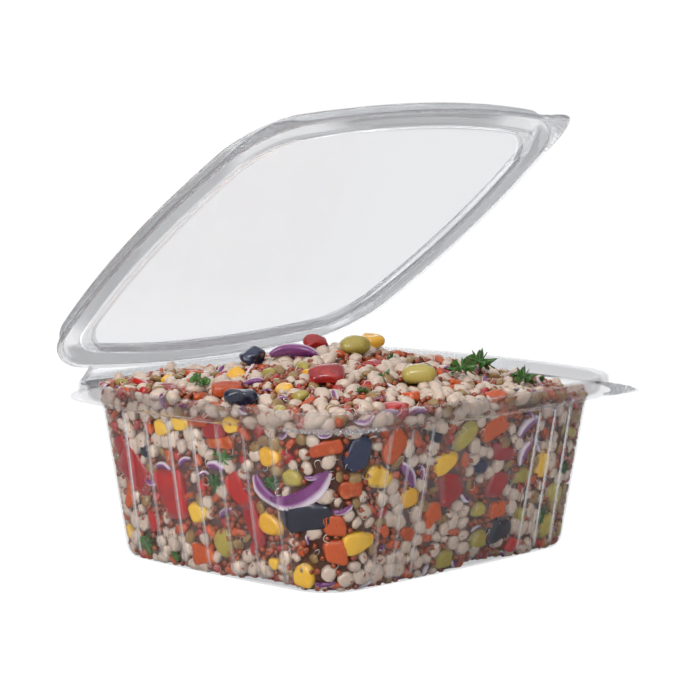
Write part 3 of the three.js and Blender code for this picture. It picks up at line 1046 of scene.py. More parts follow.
class Shapes:
    """Makes each kind of chopped food at the origin: x along, y across, z thick."""

    def __init__(self, cuts: int = 7) -> None:
        """Makes the ball that the rounded pieces are stretched from."""
        self.unit, self.faces = cube_ball(cuts)

    def _rounded(self, size: Sequence[float], power: float) -> np.ndarray:
        """Stretches the ball to a size: power 2 keeps it round, more makes it boxy."""
        stretch = (np.abs(self.unit) ** power).sum(1) ** (-1 / power)
        return self.unit * stretch[:, None] * np.array(size) / 2

    def make(self, kind: Kind, size: Sequence[float], seed: int) -> Body:
        """Args:
            kind: Which food.
            size: Its length, width and thickness.
            seed: Picks its own unevenness.

        Returns:
            The piece.
        """
        makers: dict[Kind, Callable[[np.ndarray, np.random.Generator], Body]] = {
            Kind.CORN: self._corn,
            Kind.EDAMAME: self._bean,
            Kind.OLIVE: self._olive,
            Kind.PEPPER: self._pepper,
            Kind.CARROT: self._carrot,
            Kind.ONION: self._onion,
            Kind.PARSLEY: self._leaf,
        }
        random = np.random.default_rng(seed)
        body = makers[kind](np.array(size, float), random)
        if kind is not Kind.PARSLEY:
            rough = 0.4 if kind in (Kind.CORN, Kind.EDAMAME) else 1.0
            body.points += Cloud(seed, max(size) * 0.6).at(body.points) * min(size) * 0.06 * rough
            body.points += Cloud(seed + 1, max(size) * 0.28).at(body.points) * min(size) * 0.025 * rough
        spread = 0.12 if kind is Kind.ONION else 0.75
        body.tint = np.clip(body.tint + random.uniform(0, spread), 0, 1)
        return body

    def _solid(self, points: np.ndarray) -> Body:
        """Closes stretched points with the faces of the ball."""
        return Body(points, list(self.faces), np.zeros(len(points)))

    def _skewed(
        self, points: np.ndarray, size: np.ndarray, random: np.random.Generator, taper: float
    ) -> Body:
        """Tapers and slants a chopped cube.

        Args:
            points: Its points.
            size: Its length, width and thickness.
            random: Draws its own unevenness.
            taper: Greatest taper.

        Returns:
            The piece.
        """
        points[:, 1] *= 1 + points[:, 0] / size[0] * random.uniform(-taper, taper)
        points[:, 1] += points[:, 0] * random.uniform(-0.3, 0.3)
        return self._solid(points)

    def _corn(self, size: np.ndarray, random: np.random.Generator) -> Body:
        """Makes a kernel that narrows to one end and has a dent.

        Args:
            size: Its length, width and thickness.
            random: Not used.

        Returns:
            The kernel.
        """
        points = self._rounded(size, 2.7)
        along = points[:, 0] / size[0] * 2
        points[:, 1] *= 1 - 0.26 * along
        points[:, 2] *= 1 - 0.2 * along
        dent = np.exp(-((points[:, 0] / size[0] + 0.1) ** 2 * 16 + (points[:, 1] / size[1]) ** 2 * 14))
        points[:, 2] -= np.sign(points[:, 2]) * dent * size[2] * 0.12
        return self._solid(points)

    def _bean(self, size: np.ndarray, random: np.random.Generator) -> Body:
        """Makes a bean with a slight bend and a seam.

        Args:
            size: Its length, width and thickness.
            random: Not used.

        Returns:
            The bean.
        """
        points = self._rounded(size, 2.15)
        along = points[:, 0] / size[0] * 2
        points[:, 1] += (0.5 - along**2) * size[1] * 0.12
        seam = np.exp(-((points[:, 2] / size[2] * 9) ** 2)) * (points[:, 1] > 0)
        points[:, 1] -= seam * size[1] * 0.04
        return self._solid(points)

    def _olive(self, size: np.ndarray, random: np.random.Generator) -> Body:
        """Makes an olive cut off on one side.

        Args:
            size: Its length, width and thickness.
            random: Draws its own unevenness.

        Returns:
            The piece of olive.
        """
        points = self._rounded(size, 2.1)
        points[:, 1] = np.maximum(points[:, 1], -size[1] * random.uniform(0.25, 0.42))
        return self._solid(points)

    def _pepper(self, size: np.ndarray, random: np.random.Generator) -> Body:
        """Makes a curved piece of pepper.

        Args:
            size: Its length, width and thickness.
            random: Draws its own unevenness.

        Returns:
            The piece.
        """
        points = self._rounded(size, 5.0)
        points[:, 2] -= (points[:, 0] / size[0]) ** 2 * size[2] * 0.9
        return self._skewed(points, size, random, 0.7)

    def _carrot(self, size: np.ndarray, random: np.random.Generator) -> Body:
        """Makes a chopped piece of carrot."""
        return self._skewed(self._rounded(size, 4.5), size, random, 0.6)

    def _onion(self, size: np.ndarray, random: np.random.Generator) -> Body:
        """Makes a bent strip of onion, coloured on its outer side.

        Args:
            size: Its length, width and thickness.
            random: Draws its own unevenness.

        Returns:
            The strip.
        """
        steps, sides = 18, 12
        turns = np.linspace(0, 2 * math.pi, sides, endpoint=False)
        bend = random.uniform(0.9, 1.5)
        radius = size[0] / (2 * math.sin(bend / 2))
        points, tint = [], []
        for i in range(steps):
            share = i / (steps - 1)
            angle = (share - 0.5) * bend
            taper = 0.3 + 0.7 * math.sin(math.pi * min(max(share, 0.02), 0.98)) ** 0.5
            for turn in turns:
                wide, thick = math.cos(turn), math.sin(turn)
                reach = radius + np.sign(wide) * abs(wide) ** 0.6 * size[1] / 2 * taper
                height = np.sign(thick) * abs(thick) ** 0.6 * size[2] / 2 * taper
                points.append((reach * math.sin(angle), reach * math.cos(angle), height))
                tint.append(0.8 if wide < 0.1 else 0.0)
        faces = [(b, a, d, c) for a, b, c, d in band_faces(steps, sides)]
        faces.append(tuple(range(sides)))
        faces.append(tuple(range((steps - 1) * sides, steps * sides))[::-1])
        made = np.array(points)
        made[:, 1] -= made[:, 1].mean()
        return Body(made, faces, np.array(tint))

    def _leaf(self, size: np.ndarray, random: np.random.Generator) -> Body:
        """Makes a lobed and toothed leaf that is folded and wavy.

        Args:
            size: Its length, width and thickness.
            random: Draws its own unevenness.

        Returns:
            The leaf.
        """
        turns = np.linspace(0, 2 * math.pi, 96, endpoint=False)
        lobes = 0.62 + 0.18 * np.cos(turns * 5 + random.uniform(-0.3, 0.3))
        lobes += 0.2 * np.abs(np.sin(turns * 8)) ** 0.6 * np.sign(np.sin(turns * 16))
        rings = (0.04, 0.3, 0.55, 0.8, 1.0)
        flat = []
        for share in rings:
            x = np.cos(turns) * lobes * share * size[0] / 2
            y = np.sin(turns) * lobes * share * size[1] / 2
            wave = np.sin(turns * 9 + random.uniform(0, 1)) * share**2 * size[0] * 0.15
            fold = np.abs(y) * 0.35 - (x / size[0]) ** 2 * size[0] * 0.35
            flat.append(np.stack([x, y, wave + fold], 1))
        upper = np.concatenate(flat)
        count = len(turns)
        lower = upper - (0, 0, size[2])
        faces: list[tuple[int, ...]] = []
        shift = len(upper)
        for a, b, c, d in band_faces(len(rings), count):
            faces.append((a, d, c, b))
            faces.append((b + shift, c + shift, d + shift, a + shift))
        edge = (len(rings) - 1) * count
        for j in range(count):
            a, b = edge + j, edge + (j + 1) % count
            faces.append((a, a + shift, b + shift, b))
        faces.append(tuple(range(count)))
        faces.append(tuple(range(shift, shift + count))[::-1])
        points = np.concatenate([upper, lower])
        return Body(points, faces, np.zeros(len(points)))


@dataclass(frozen=True)
class Spread:
    """Scatters copies of one small piece over a surface with Geometry Nodes."""

    distance: float
    seed: int
    sink: float = 0.0
    tilt: float = 0.5
    low: float = 0.75
    high: float = 1.2
    clear: float = 1.4
    patch: float = 0.0
    patch_size: float = 17.0
    patch_shift: float = 1.37
    dense: float = 1e7

    def _tree(self) -> bpy.types.NodeTree:
        """Builds the node tree that scatters the pieces.

        Returns:
            The tree.
        """
        tree = bpy.data.node_groups.new("spread", "GeometryNodeTree")
        sockets = tree.interface
        sockets.new_socket("Geometry", in_out="OUTPUT", socket_type="NodeSocketGeometry")
        for kind, names in (
            ("Geometry", ("Surface",)),
            ("Object", ("Piece", "Obstacle")),
            ("Float", ("Distance", "Clear", "Patch", "Patch Scale", "Sink", "Tilt", "Low", "High")),
            ("Int", ("Seed",)),
            ("Material", ("Finish",)),
        ):
            for name in names:
                sockets.new_socket(name, in_out="INPUT", socket_type="NodeSocket" + kind)
        graph = Graph(tree, "GeometryNode")
        given = graph.add("+NodeGroupInput")
        seed = given.out("Seed")
        spots = graph.add(
            "DistributePointsOnFaces",
            {"distribute_method": "POISSON"},
            {"Mesh": given.out("Surface"), "Distance Min": given.out("Distance")}
            | {"Density Max": self.dense, "Seed": seed},
        )
        blocked = graph.add("ObjectInfo", {"transform_space": "RELATIVE"}, {"Object": given.out("Obstacle")})
        gap = graph.add("Proximity", {"target_element": "FACES"}, {0: blocked.out("Geometry")})
        near = gap.out("Distance") < given.out("Clear")
        where = {"Vector": graph.add("InputPosition").out(0), "W": seed * self.patch_shift}
        where |= {"Scale": given.out("Patch Scale"), "Detail": 1.0}
        bare = graph.add("TexNoise", {"noise_dimensions": "4D"}, where).out(0) < given.out("Patch")
        dropped = {"Geometry": spots.out("Points"), "Selection": near + bare}
        kept = graph.add("DeleteGeometry", {"domain": "POINT"}, dropped)
        marked = graph.add(
            "StoreNamedAttribute",
            {"data_type": "FLOAT", "domain": "POINT"},
            {"Geometry": kept.out(0), "Name": TINT, "Value": graph.draw(seed + 3, 0.0, 1.0)},
        )
        lean = given.out("Tilt")
        tips = [graph.draw(seed + n, lean * -1, lean) for n in (5, 6)]
        spin = graph.draw(seed + 7, 0.0, 2 * math.pi)
        angles = graph.add("CombineXYZ", {}, dict(enumerate([*tips, spin]))).out(0)
        turned = graph.add(
            "+FunctionNodeRotateRotation",
            {"rotation_space": "LOCAL"},
            {0: spots.out("Rotation"), 1: graph.add("+FunctionNodeEulerToRotation", {}, {0: angles}).out(0)},
        )
        size = graph.draw(seed + 9, given.out("Low"), given.out("High"))
        piece = graph.add("ObjectInfo", {"transform_space": "ORIGINAL"}, {"Object": given.out("Piece")})
        copies = {"Points": marked.out(0), "Instance": piece.out("Geometry")}
        placed = graph.add("InstanceOnPoints", {}, copies | {"Rotation": turned.out(0), "Scale": size})
        drop = graph.add("CombineXYZ", {}, {2: given.out("Sink") * -1}).out(0)
        lowered = graph.add("TranslateInstances", {}, {"Instances": placed.out(0), "Translation": drop})
        real = graph.add("RealizeInstances", {}, {0: lowered.out(0)})
        done = graph.add("SetMaterial", {}, {"Geometry": real.out(0), "Material": given.out("Finish")})
        graph.add("+NodeGroupOutput", {}, {0: done.out(0)})
        return tree

    def build(
        self,
        surface: bpy.types.Object,
        piece: bpy.types.Object,
        obstacle: bpy.types.Object | None,
        name: str,
        material: bpy.types.Material,
    ) -> bpy.types.Object:
        """Args:
            surface: What the pieces lie on.
            piece: The piece to copy.
            obstacle: What they stay clear of.
            name: Name of the result.
            material: Its finish.

        Returns:
            A plain mesh of all the copies.
        """
        tree = self._tree()
        keys = {item.name: item.identifier for item in tree.interface.items_tree if item.in_out == "INPUT"}
        modifier = surface.modifiers.new("spread", "NODES")
        modifier.node_group = tree
        values = {
            "Piece": piece,
            "Obstacle": obstacle,
            "Distance": self.distance * MM,
            "Clear": self.clear * MM if obstacle else -1.0,
            "Patch": self.patch,
            "Patch Scale": 1 / (self.patch_size * MM),
            "Sink": self.sink * MM,
            "Tilt": self.tilt,
            "Low": self.low,
            "High": self.high,
            "Seed": self.seed,
            "Finish": material,
        }
        for key, setting in values.items():
            modifier[keys[key]] = setting
        surface.update_tag()
        bpy.context.view_layer.update()
        graph = bpy.context.evaluated_depsgraph_get()
        mesh = bpy.data.meshes.new_from_object(surface.evaluated_get(graph), depsgraph=graph)
        surface.modifiers.clear()
        bpy.data.node_groups.remove(tree)
        mesh.name = name
        mesh.polygons.foreach_set("use_smooth", [True] * len(mesh.polygons))
        return linked(name, mesh)


class Heap:
    """The room inside the walls and the height of the salad over it."""

    lump_height = 0.8
    floor_gap = 9.0
    floor_gap_rise = 3.2
    rim_level, lowest = 59.0, 0.8
    core_inset, core_drop = 1.9, 2.2
    level = 63.2
    dome_x, dome_y, dome_rise, dome_edge, dome_blunt = 86.0, 80.0, 16.2, 1.05, 0.02
    hollow_x, hollow_y, hollow_spread, hollow_depth = 58.0, 47.0, 17.0, 6.5
    trough_at, trough_spread, trough_depth = 46.0, 14.0, 2.8

    def __init__(self, turns: int = 720, levels: int = 80) -> None:
        """Args:
            turns: Directions in the table of wall radii.
            levels: Heights in the table of wall radii.
        """
        self.columns = Columns(Ribs())
        self.turns = np.linspace(-math.pi, math.pi, turns, endpoint=False)
        self.levels = np.linspace(0.7, 66.4, levels)
        self.radii = np.array([self._radii(z) for z in self.levels])

    @staticmethod
    def station(height: float, inset: float) -> np.ndarray:
        """Args:
            height: Height in mm.
            inset: How far inside the inner face of the wall.

        Returns:
            The outline of the room at that height.
        """
        table = np.array([FOOT.grown(1.0).at(0.7), *WALL_STATIONS])
        values = [np.interp(height, table[:, 4], table[:, i]) for i in range(4)]
        inward = inset + SHEET / 2
        half_x, half_y, radius, bow = values
        return np.array([half_x - inward, half_y - inward, radius - inward, bow, height])

    def _radii(self, height: float) -> np.ndarray:
        """Measures the room at one height.

        Args:
            height: Height in mm.

        Returns:
            The distance to the wall in each direction of the table.
        """
        ring = self.columns.ring(self.station(height, 0.0))
        angle = np.arctan2(ring[:, 1], ring[:, 0])
        order = np.argsort(angle)
        radius = np.hypot(ring[:, 0], ring[:, 1])
        return np.interp(self.turns, angle[order], radius[order], period=2 * math.pi)

    def reach(self, x: np.ndarray, y: np.ndarray, z: np.ndarray) -> np.ndarray:
        """Args:
            x: Places along X.
            y: Places along Y.
            z: Heights.

        Returns:
            The distance from the axis to the inner face of the wall in that direction.
        """
        turn = (np.arctan2(y, x) + math.pi) / (2 * math.pi) * len(self.turns)
        level = (np.asarray(z) - self.levels[0]) / (self.levels[1] - self.levels[0])
        level = np.clip(level, 0, len(self.levels) - 1.001)
        low_turn, low_level = np.floor(turn).astype(int), np.floor(level).astype(int)
        part_turn, part_level = turn - low_turn, level - low_level
        first, second = low_turn % len(self.turns), (low_turn + 1) % len(self.turns)
        below = self.radii[low_level, first] * (1 - part_turn) + self.radii[low_level, second] * part_turn
        above = self.radii[low_level + 1, first] * (1 - part_turn)
        above = above + self.radii[low_level + 1, second] * part_turn
        return below * (1 - part_level) + above * part_level

    def pressed(self, points: np.ndarray, into: float = 0.2, floor: float = 0.55) -> np.ndarray:
        """Presses points that would pass through the wall flat against it.

        Args:
            points: An (n, 3) array in mm.
            into: How far into the sheet they may reach.
            floor: The lowest height they may have.

        Returns:
            The pressed points.
        """
        radius = np.maximum(np.hypot(points[:, 0], points[:, 1]), 1e-6)
        limit = self.reach(points[:, 0], points[:, 1], points[:, 2]) + into
        scale = np.where(radius > limit, limit / radius, 1.0)
        done = points.copy()
        done[:, :2] *= scale[:, None]
        done[:, 2] = np.maximum(done[:, 2], floor)
        return done

    def height(self, x: np.ndarray, y: np.ndarray) -> np.ndarray:
        """Args:
            x: Places along X.
            y: Places along Y.

        Returns:
            The height of the top of the salad there.
        """
        reach = np.sqrt((x / self.dome_x) ** 2 + (y / self.dome_y) ** 2 + self.dome_blunt)
        dome = self.dome_rise * np.maximum(0, self.dome_edge - reach)
        tilt = -2.2 * (x / 80) + 0.6 * (y / 72)
        away = (x - self.hollow_x) ** 2 + (y - self.hollow_y) ** 2
        hollow = self.hollow_depth * np.exp(-away / (2 * self.hollow_spread**2))
        across = 0.69 * x - 0.72 * y + self.trough_at
        trough = self.trough_depth * np.exp(-((across / self.trough_spread) ** 2))
        lumps = 0.7 * np.sin(x / 9 + 1.3) * np.cos(y / 8 - 0.4) + 0.4 * np.sin((x + y) / 5)
        return self.level + tilt + dome - hollow - trough + lumps

    def slope(self, x: float, y: float) -> np.ndarray:
        """Args:
            x: Place along X.
            y: Place along Y.

        Returns:
            The unit normal of the top there.
        """
        step = 2.0
        along_x = (self.height(x + step, y) - self.height(x - step, y)) / (2 * step)
        along_y = (self.height(x, y + step) - self.height(x, y - step)) / (2 * step)
        normal = np.array([-along_x, -along_y, 1.0])
        return normal / np.linalg.norm(normal)

    def surfaces(self, inset: float, drop: float) -> tuple[Body, Body]:
        """Args:
            inset: How far the sides lie inside the wall.
            drop: How far the top lies under the height of the heap.

        Returns:
            The top, and the sides, as open surfaces.
        """
        shares = np.linspace(0.0, 1.0, 30)[1:]
        rim = self.columns.ring(self.station(self.rim_level, inset))[::2]
        top_rows = []
        for share in shares:
            flat = rim * share
            height = self.height(flat[:, 0], flat[:, 1]) - drop
            top_rows.append(np.column_stack([flat, height]))
        lumps = Cloud(61, 13.0)
        for row in top_rows:
            row[:, 2] += lumps.at(row * (1, 1, 0))[:, 0] * self.lump_height
        edge = top_rows[-1][:, 2]
        turn = np.arctan2(rim[:, 1], rim[:, 0])
        hollow = smooth_step(np.sin(turn * 9 + 1.0) * 0.5 + np.sin(turn * 4 + 0.5) * 0.6)
        side_rows = []
        for share in np.linspace(0, 1, 26):
            height = self.lowest + (edge - self.lowest) * share
            turn_points = np.column_stack([rim, height])
            reach = self.reach(rim[:, 0], rim[:, 1], np.minimum(height, self.rim_level)) - inset
            reach = reach - hollow * self.floor_gap * np.exp(-height / self.floor_gap_rise)
            radius = np.hypot(rim[:, 0], rim[:, 1])
            turn_points[:, :2] *= np.minimum(reach / radius, 1.0)[:, None]
            side_rows.append(turn_points)
        return self._skin(np.array(top_rows), True), self._skin(np.array(side_rows), False)

    @staticmethod
    def _skin(rows: np.ndarray, capped: bool) -> Body:
        """Joins rings of points into a surface.

        Args:
            rows: Rows of columns of points.
            capped: Whether its middle is closed and it faces up.

        Returns:
            The surface.
        """
        count, columns, _ = rows.shape
        index = np.arange(count * columns).reshape(count, columns)
        after = np.roll(index, -1, 1)
        quads = np.stack([index[:-1], index[1:], after[1:], after[:-1]], -1).reshape(-1, 4)
        if not capped:
            quads = quads[:, ::-1]
        faces = [tuple(q) for q in quads.tolist()]
        if capped:
            faces.append(tuple(index[0].tolist()))
        return Body(rows.reshape(-1, 3), faces, np.zeros(count * columns))

    def core(self) -> Body:
        """Returns:
            The closed opaque middle of the salad, under its loose pieces.
        """
        top, side = self.surfaces(self.core_inset, self.core_drop)
        columns = len(self.columns.ring(self.station(self.rim_level, 0))[::2])
        body = Body.joined([side, top])
        last_side = len(side.points) - columns
        last_top = len(body.points) - columns
        for i in range(columns):
            j = (i + 1) % columns
            body.faces.append((last_side + i, last_side + j, last_top + j, last_top + i))
        body.faces.append(tuple(range(columns))[::-1])
        body.points = body.points + Cloud(11, 7.0).at(body.points) * 0.35
        body.points[:, 2] = np.maximum(body.points[:, 2], self.lowest)
        return body


@dataclass(frozen=True)
class Spot:
    """A chopped piece against a wall: where along it, how high, how large, and how it is turned."""

    along: float
    high: float
    wide: float
    tall: float
    turn: float = 0.0


# Along the wall, height, width, upright size and turn of each piece that shows
SEEN_PIECES: dict[Side, dict[Kind, tuple[tuple[float, ...], ...]]] = {
    Side.LEFT: {
        Kind.PEPPER: (
            (39, 35, 20, 14, -30), (18, 28, 20, 15, 100), (31, 16, 6, 8), (-18, 34, 14, 8, -60),
            (-24, 22, 17, 7, -60), (-9, 55, 12, 6),
        ),
        Kind.CARROT: (
            (-12, 51, 13, 4.5), (-2, 58, 10, 4), (5, 7, 11, 8), (-57, 25, 8, 8), (-56, 15, 8, 9),
            (-58, 53, 12, 5),
        ),
        Kind.CORN: (
            (8, 56, 9, 6), (-19, 58, 8, 5.5), (19, 53, 8, 6), (-35, 48, 9, 7), (5, 23, 9, 7.5, 20),
            (-32, 23, 11, 8, -20), (-45, 6, 9, 8, 70),
        ),
        Kind.EDAMAME: (
            (-7, 13, 12, 9, 80), (-44, 41, 9, 7),
        ),
        Kind.PARSLEY: (
            (-13, 46, 13, 6), (-7, 36, 9, 8, 50), (37, 7, 12, 9), (-35, 39, 8, 6),
        ),
        Kind.ONION: (
            (-8, 42, 8, 3.5), (-32, 35, 15, 5, 142), (-48, 36, 28, 6.5, 204),
        ),
        Kind.OLIVE: (
            (-48, 27, 20, 14, 10), (31, 43, 6, 5),
        ),
    },
    Side.FRONT: {
        Kind.OLIVE: (
            (-61, 50, 14, 11, 80), (20, 12, 14, 11, 15),
        ),
        Kind.CARROT: (
            (-46, 52, 12, 9, 40), (6, 54, 15, 9, 20), (-21, 24, 8, 9), (16, 21, 9, 6), (-62, 38, 8, 6),
        ),
        Kind.CORN: (
            (-18, 43, 13, 8, 15), (-50, 41, 13, 8, -15), (-34, 32, 9, 8), (-56, 18, 13, 8, 10),
            (40, 36, 12, 8, 80),
        ),
        Kind.EDAMAME: (
            (-9, 52, 15, 9, 35), (28, 32, 11, 7), (5, 22, 8, 6), (8, 10, 10, 8), (-10, 5, 11, 8),
            (49, 10, 11, 10, 60), (51, 22, 11, 9, -30),
        ),
        Kind.PEPPER: (
            (-13, 33, 12, 12, 20), (13, 31, 11, 10, 70), (14, 43, 14, 6),
        ),
        Kind.ONION: (
            (-37, 41, 12, 4.5, -50), (27, 42, 11, 4, 60), (26, 52, 12, 4.5, 30),
        ),
        Kind.PARSLEY: ((44, 15, 9, 8),),
    },
}


@dataclass(frozen=True)
class Mix:
    """How often a kind turns up where the photo doesn't show the food, and its sizes."""

    kind: Kind
    share: float
    size: tuple[float, float, float]
    wall_thickness: float


MIXES = (
    Mix(Kind.CORN, 0.2, (8.5, 7.5, 5.5), 5.5),
    Mix(Kind.EDAMAME, 0.17, (11.5, 8.0, 7.0), 6.5),
    Mix(Kind.PEPPER, 0.16, (11.0, 8.0, 3.4), 3.6),
    Mix(Kind.CARROT, 0.2, (9.5, 6.0, 4.4), 4.6),
    Mix(Kind.ONION, 0.12, (13.0, 3.6, 2.4), 2.6),
    Mix(Kind.OLIVE, 0.05, (11.0, 8.0, 7.0), 7.0),
    Mix(Kind.PARSLEY, 0.1, (9.5, 8.5, 0.4), 0.4),
)


def frame_of(normal: np.ndarray, along: np.ndarray, turn: float) -> np.ndarray:
    """Args:
        normal: Which way the piece faces.
        along: Which way its length lies before it is turned.
        turn: Its turn about the normal, in degrees.

    Returns:
        A matrix whose columns are its length, width and thickness.
    """
    face = normal / np.linalg.norm(normal)
    first = along - face * (along @ face)
    first /= np.linalg.norm(first)
    second = np.cross(face, first)
    angle = math.radians(turn)
    length = first * math.cos(angle) + second * math.sin(angle)
    return np.stack([length, np.cross(face, length), face], 1)


class ChoppedFood:
    """The chopped pieces that lie against the walls and on the heap, one mesh for each kind."""

    sunk = 0.36
    end_start = 70.0
    side_start = 62.0
    step = 1.5
    wall_slope = 0.18

    def __init__(self, heap: Heap, shapes: Shapes, seed: int = 71) -> None:
        """Args:
            heap: The room that they lie in.
            shapes: Makes them.
            seed: Fixes where the unseen ones lie.
        """
        self.heap = heap
        self.shapes = shapes
        self.random = np.random.default_rng(seed)
        self.bodies: dict[Kind, list[Body]] = {kind: [] for kind in Kind}
        self.places: list[np.ndarray] = []

    def _to_wall(self, start: np.ndarray, out: np.ndarray, high: float, steps: int) -> np.ndarray:
        """Moves a place until it lies on the inner face of the wall.

        Args:
            start: Where it starts.
            out: Which way it moves.
            high: Its height.
            steps: Number of moves.

        Returns:
            The place on the wall.
        """
        place = start
        for _ in range(steps):
            reach = self.heap.reach(place[:1], place[1:2], np.array([high]))[0]
            place = place + out * (reach - np.hypot(place[0], place[1])) * 0.9
        return place

    def _wall_place(
        self, side: Side, along: float, high: float
    ) -> tuple[np.ndarray, np.ndarray, np.ndarray]:
        """Finds a place on a wall.

        Args:
            side: Which wall.
            along: Place along it.
            high: Its height.

        Returns:
            The place, the way out through the wall, and the way along it.
        """
        step_x, step_y = side.value
        out = np.array([step_x, step_y, 0.0])
        run = np.array([abs(step_y), abs(step_x), 0.0])
        start = out * (self.end_start if step_x else self.side_start) + run * along
        base = self._to_wall(start, out, high, 12)
        before, after = (self._to_wall(base + run * step, out, high, 8) for step in (-self.step, self.step))
        normal = np.cross(after - before, (0, 0, 1.0))
        normal *= math.copysign(1, normal @ out)
        normal = normal / np.linalg.norm(normal) - np.array([0, 0, self.wall_slope])
        here = np.array([base[0], base[1], high])
        return here, normal / np.linalg.norm(normal), run * (-1 if step_x else 1)

    def _put(self, kind: Kind, size: Sequence[float], place: np.ndarray, frame: np.ndarray) -> None:
        """Makes a piece and presses it into the room.

        Args:
            kind: Which food.
            size: Its length, width and thickness.
            place: Its middle.
            frame: A matrix of its three directions.
        """
        seed = int(self.random.integers(1, 99999))
        body = self.shapes.make(kind, size, seed)
        body.points = self.heap.pressed(body.points @ frame.T + place)
        self.bodies[kind].append(body)
        self.places.append(place)

    def add_seen(self) -> None:
        """Adds the pieces that show through the two walls in the photo."""
        thickness = {mix.kind: mix.wall_thickness for mix in MIXES}
        for side, kinds in SEEN_PIECES.items():
            for kind, rows in kinds.items():
                for spot in (Spot(*row) for row in rows):
                    here, normal, tangent = self._wall_place(side, spot.along, spot.high)
                    size = (spot.wide, spot.tall, thickness[kind])
                    place = here - normal * size[2] * self.sunk
                    self._put(kind, size, place, frame_of(normal, tangent, spot.turn))

    def _pick(self) -> Mix:
        """Draws a kind of food by its share."""
        shares = np.array([mix.share for mix in MIXES])
        return MIXES[int(self.random.choice(len(MIXES), p=shares / shares.sum()))]

    def _is_clear(self, place: np.ndarray, gap: float) -> bool:
        """Tells whether a place is further than the gap from all pieces."""
        return all(np.linalg.norm(place - other) > gap for other in self.places)

    def add_hidden(self, tries: int = 260, gap: float = 11.0) -> None:
        """Adds pieces against the walls where the photo shows none or can't be seen.

        Args:
            tries: Places that are tried.
            gap: Least distance between two pieces.
        """
        for _ in range(tries):
            side = list(Side)[int(self.random.integers(0, 4))]
            reach = 52.0 if side in (Side.LEFT, Side.RIGHT) else 62.0
            along, high = self.random.uniform(-reach, reach), self.random.uniform(4, 57)
            here, normal, tangent = self._wall_place(side, along, high)
            seen = side in (Side.LEFT, Side.FRONT)
            if high > self.heap.height(here[0], here[1]) - 4:
                continue
            mix = self._pick()
            scale = self.random.uniform(0.55, 0.8) if seen else self.random.uniform(0.8, 1.1)
            if not self._is_clear(here, gap * (0.95 if seen else 1.15)):
                continue
            size = [s * scale for s in mix.size]
            place = here - normal * size[2] * self.sunk
            turn = self.random.uniform(0, 360)
            self._put(mix.kind, size, place, frame_of(normal, tangent, turn))

    def add_top(self, toppings: Iterable[np.ndarray], tries: int = 150, gap: float = 10.5) -> None:
        """Adds pieces on the heap, clear of the toppings.

        Args:
            toppings: The middles of the toppings.
            tries: Places that are tried.
            gap: Least distance between two pieces.
        """
        taken = list(toppings)
        for _ in range(tries):
            x, y = self.random.uniform(-80, 80), self.random.uniform(-72, 72)
            top = float(self.heap.height(x, y))
            if np.hypot(x, y) > self.heap.reach(np.array([x]), np.array([y]), np.array([59.0]))[0] - 5:
                continue
            mix = self._pick()
            scale = self.random.uniform(0.55, 0.95)
            size = [s * scale for s in mix.size]
            place = np.array([x, y, top - size[2] * 0.28])
            near = [np.linalg.norm(place[:2] - other[:2]) for other in taken]
            if near and min(near) < gap or not self._is_clear(place, gap):
                continue
            lean = self.random.normal(0, 0.28, 3)
            normal = self.heap.slope(x, y) + lean
            heading = np.array([1.0, 0.0, 0.0])
            self._put(mix.kind, size, place, frame_of(normal, heading, self.random.uniform(0, 360)))

    def build(self, materials: dict[str, bpy.types.Material]) -> list[bpy.types.Object]:
        """Args:
            materials: The finishes by name.

        Returns:
            One piece for each kind.
        """
        made = []
        for kind, bodies in self.bodies.items():
            if bodies:
                piece = Body.joined(bodies).to_object("chopped_" + kind.value)
                made.append(dress(piece, materials[kind.value], BOX_BODY, ["salad"]))
        return made


@dataclass(frozen=True)
class Topping:
    """A large piece on the heap that is a CAD node of its own."""

    node: str
    kind: Kind
    size: tuple[float, float, float]
    turn: float
    tilt: float

    def place(self) -> np.ndarray:
        """Gives the middle of its CAD node, in mm."""
        low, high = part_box(self.node)
        return np.array((low + high) / 2) / MM

    def build(self, shapes: Shapes, materials: dict[str, bpy.types.Material], seed: int) -> bpy.types.Object:
        """Args:
            shapes: Makes the piece.
            materials: The finishes by name.
            seed: Picks its unevenness.

        Returns:
            The dressed piece.
        """
        body = shapes.make(self.kind, self.size, seed)
        tilt = np.array(Matrix.Rotation(math.radians(self.tilt), 3, "X"))
        turn = np.array(Matrix.Rotation(math.radians(self.turn), 3, "Z"))
        body.points = body.points @ (turn @ tilt).T
        body.points += self.place() - (body.points.min(0) + body.points.max(0)) / 2
        made = body.to_object("top_" + self.node)
        return dress(made, materials[self.kind.value], BOX_BODY, [self.node])


TOPPINGS = (
    Topping("onion_strip", Kind.ONION, (18.0, 3.4, 4.6), -50, 42),
    Topping("olive_back", Kind.OLIVE, (12, 9, 8), 20, 10),
    Topping("pepper_top", Kind.PEPPER, (13, 9, 4), -44, 24),
    Topping("pepper_back", Kind.PEPPER, (9, 6, 3.4), -30, 30),
    Topping("edamame_back", Kind.EDAMAME, (12, 8.6, 7.6), -25, 0),
    Topping("corn_back", Kind.CORN, (9, 8.4, 5.8), -40, 12),
    Topping("edamame_front", Kind.EDAMAME, (13, 9, 7.6), -40, 8),
    Topping("olive_front", Kind.OLIVE, (12.5, 6, 6.5), -50, 12),
    Topping("carrot_front", Kind.CARROT, (11, 6, 4.4), -30, 20),
    Topping("parsley_back", Kind.PARSLEY, (14, 11, 0.4), -40, 34),
    Topping("parsley_middle", Kind.PARSLEY, (12, 10, 0.4), -60, 30),
    Topping("parsley_front", Kind.PARSLEY, (12, 10, 0.4), -30, 32),
    Topping("parsley_left", Kind.PARSLEY, (9, 8, 0.4), 12, 24),
)


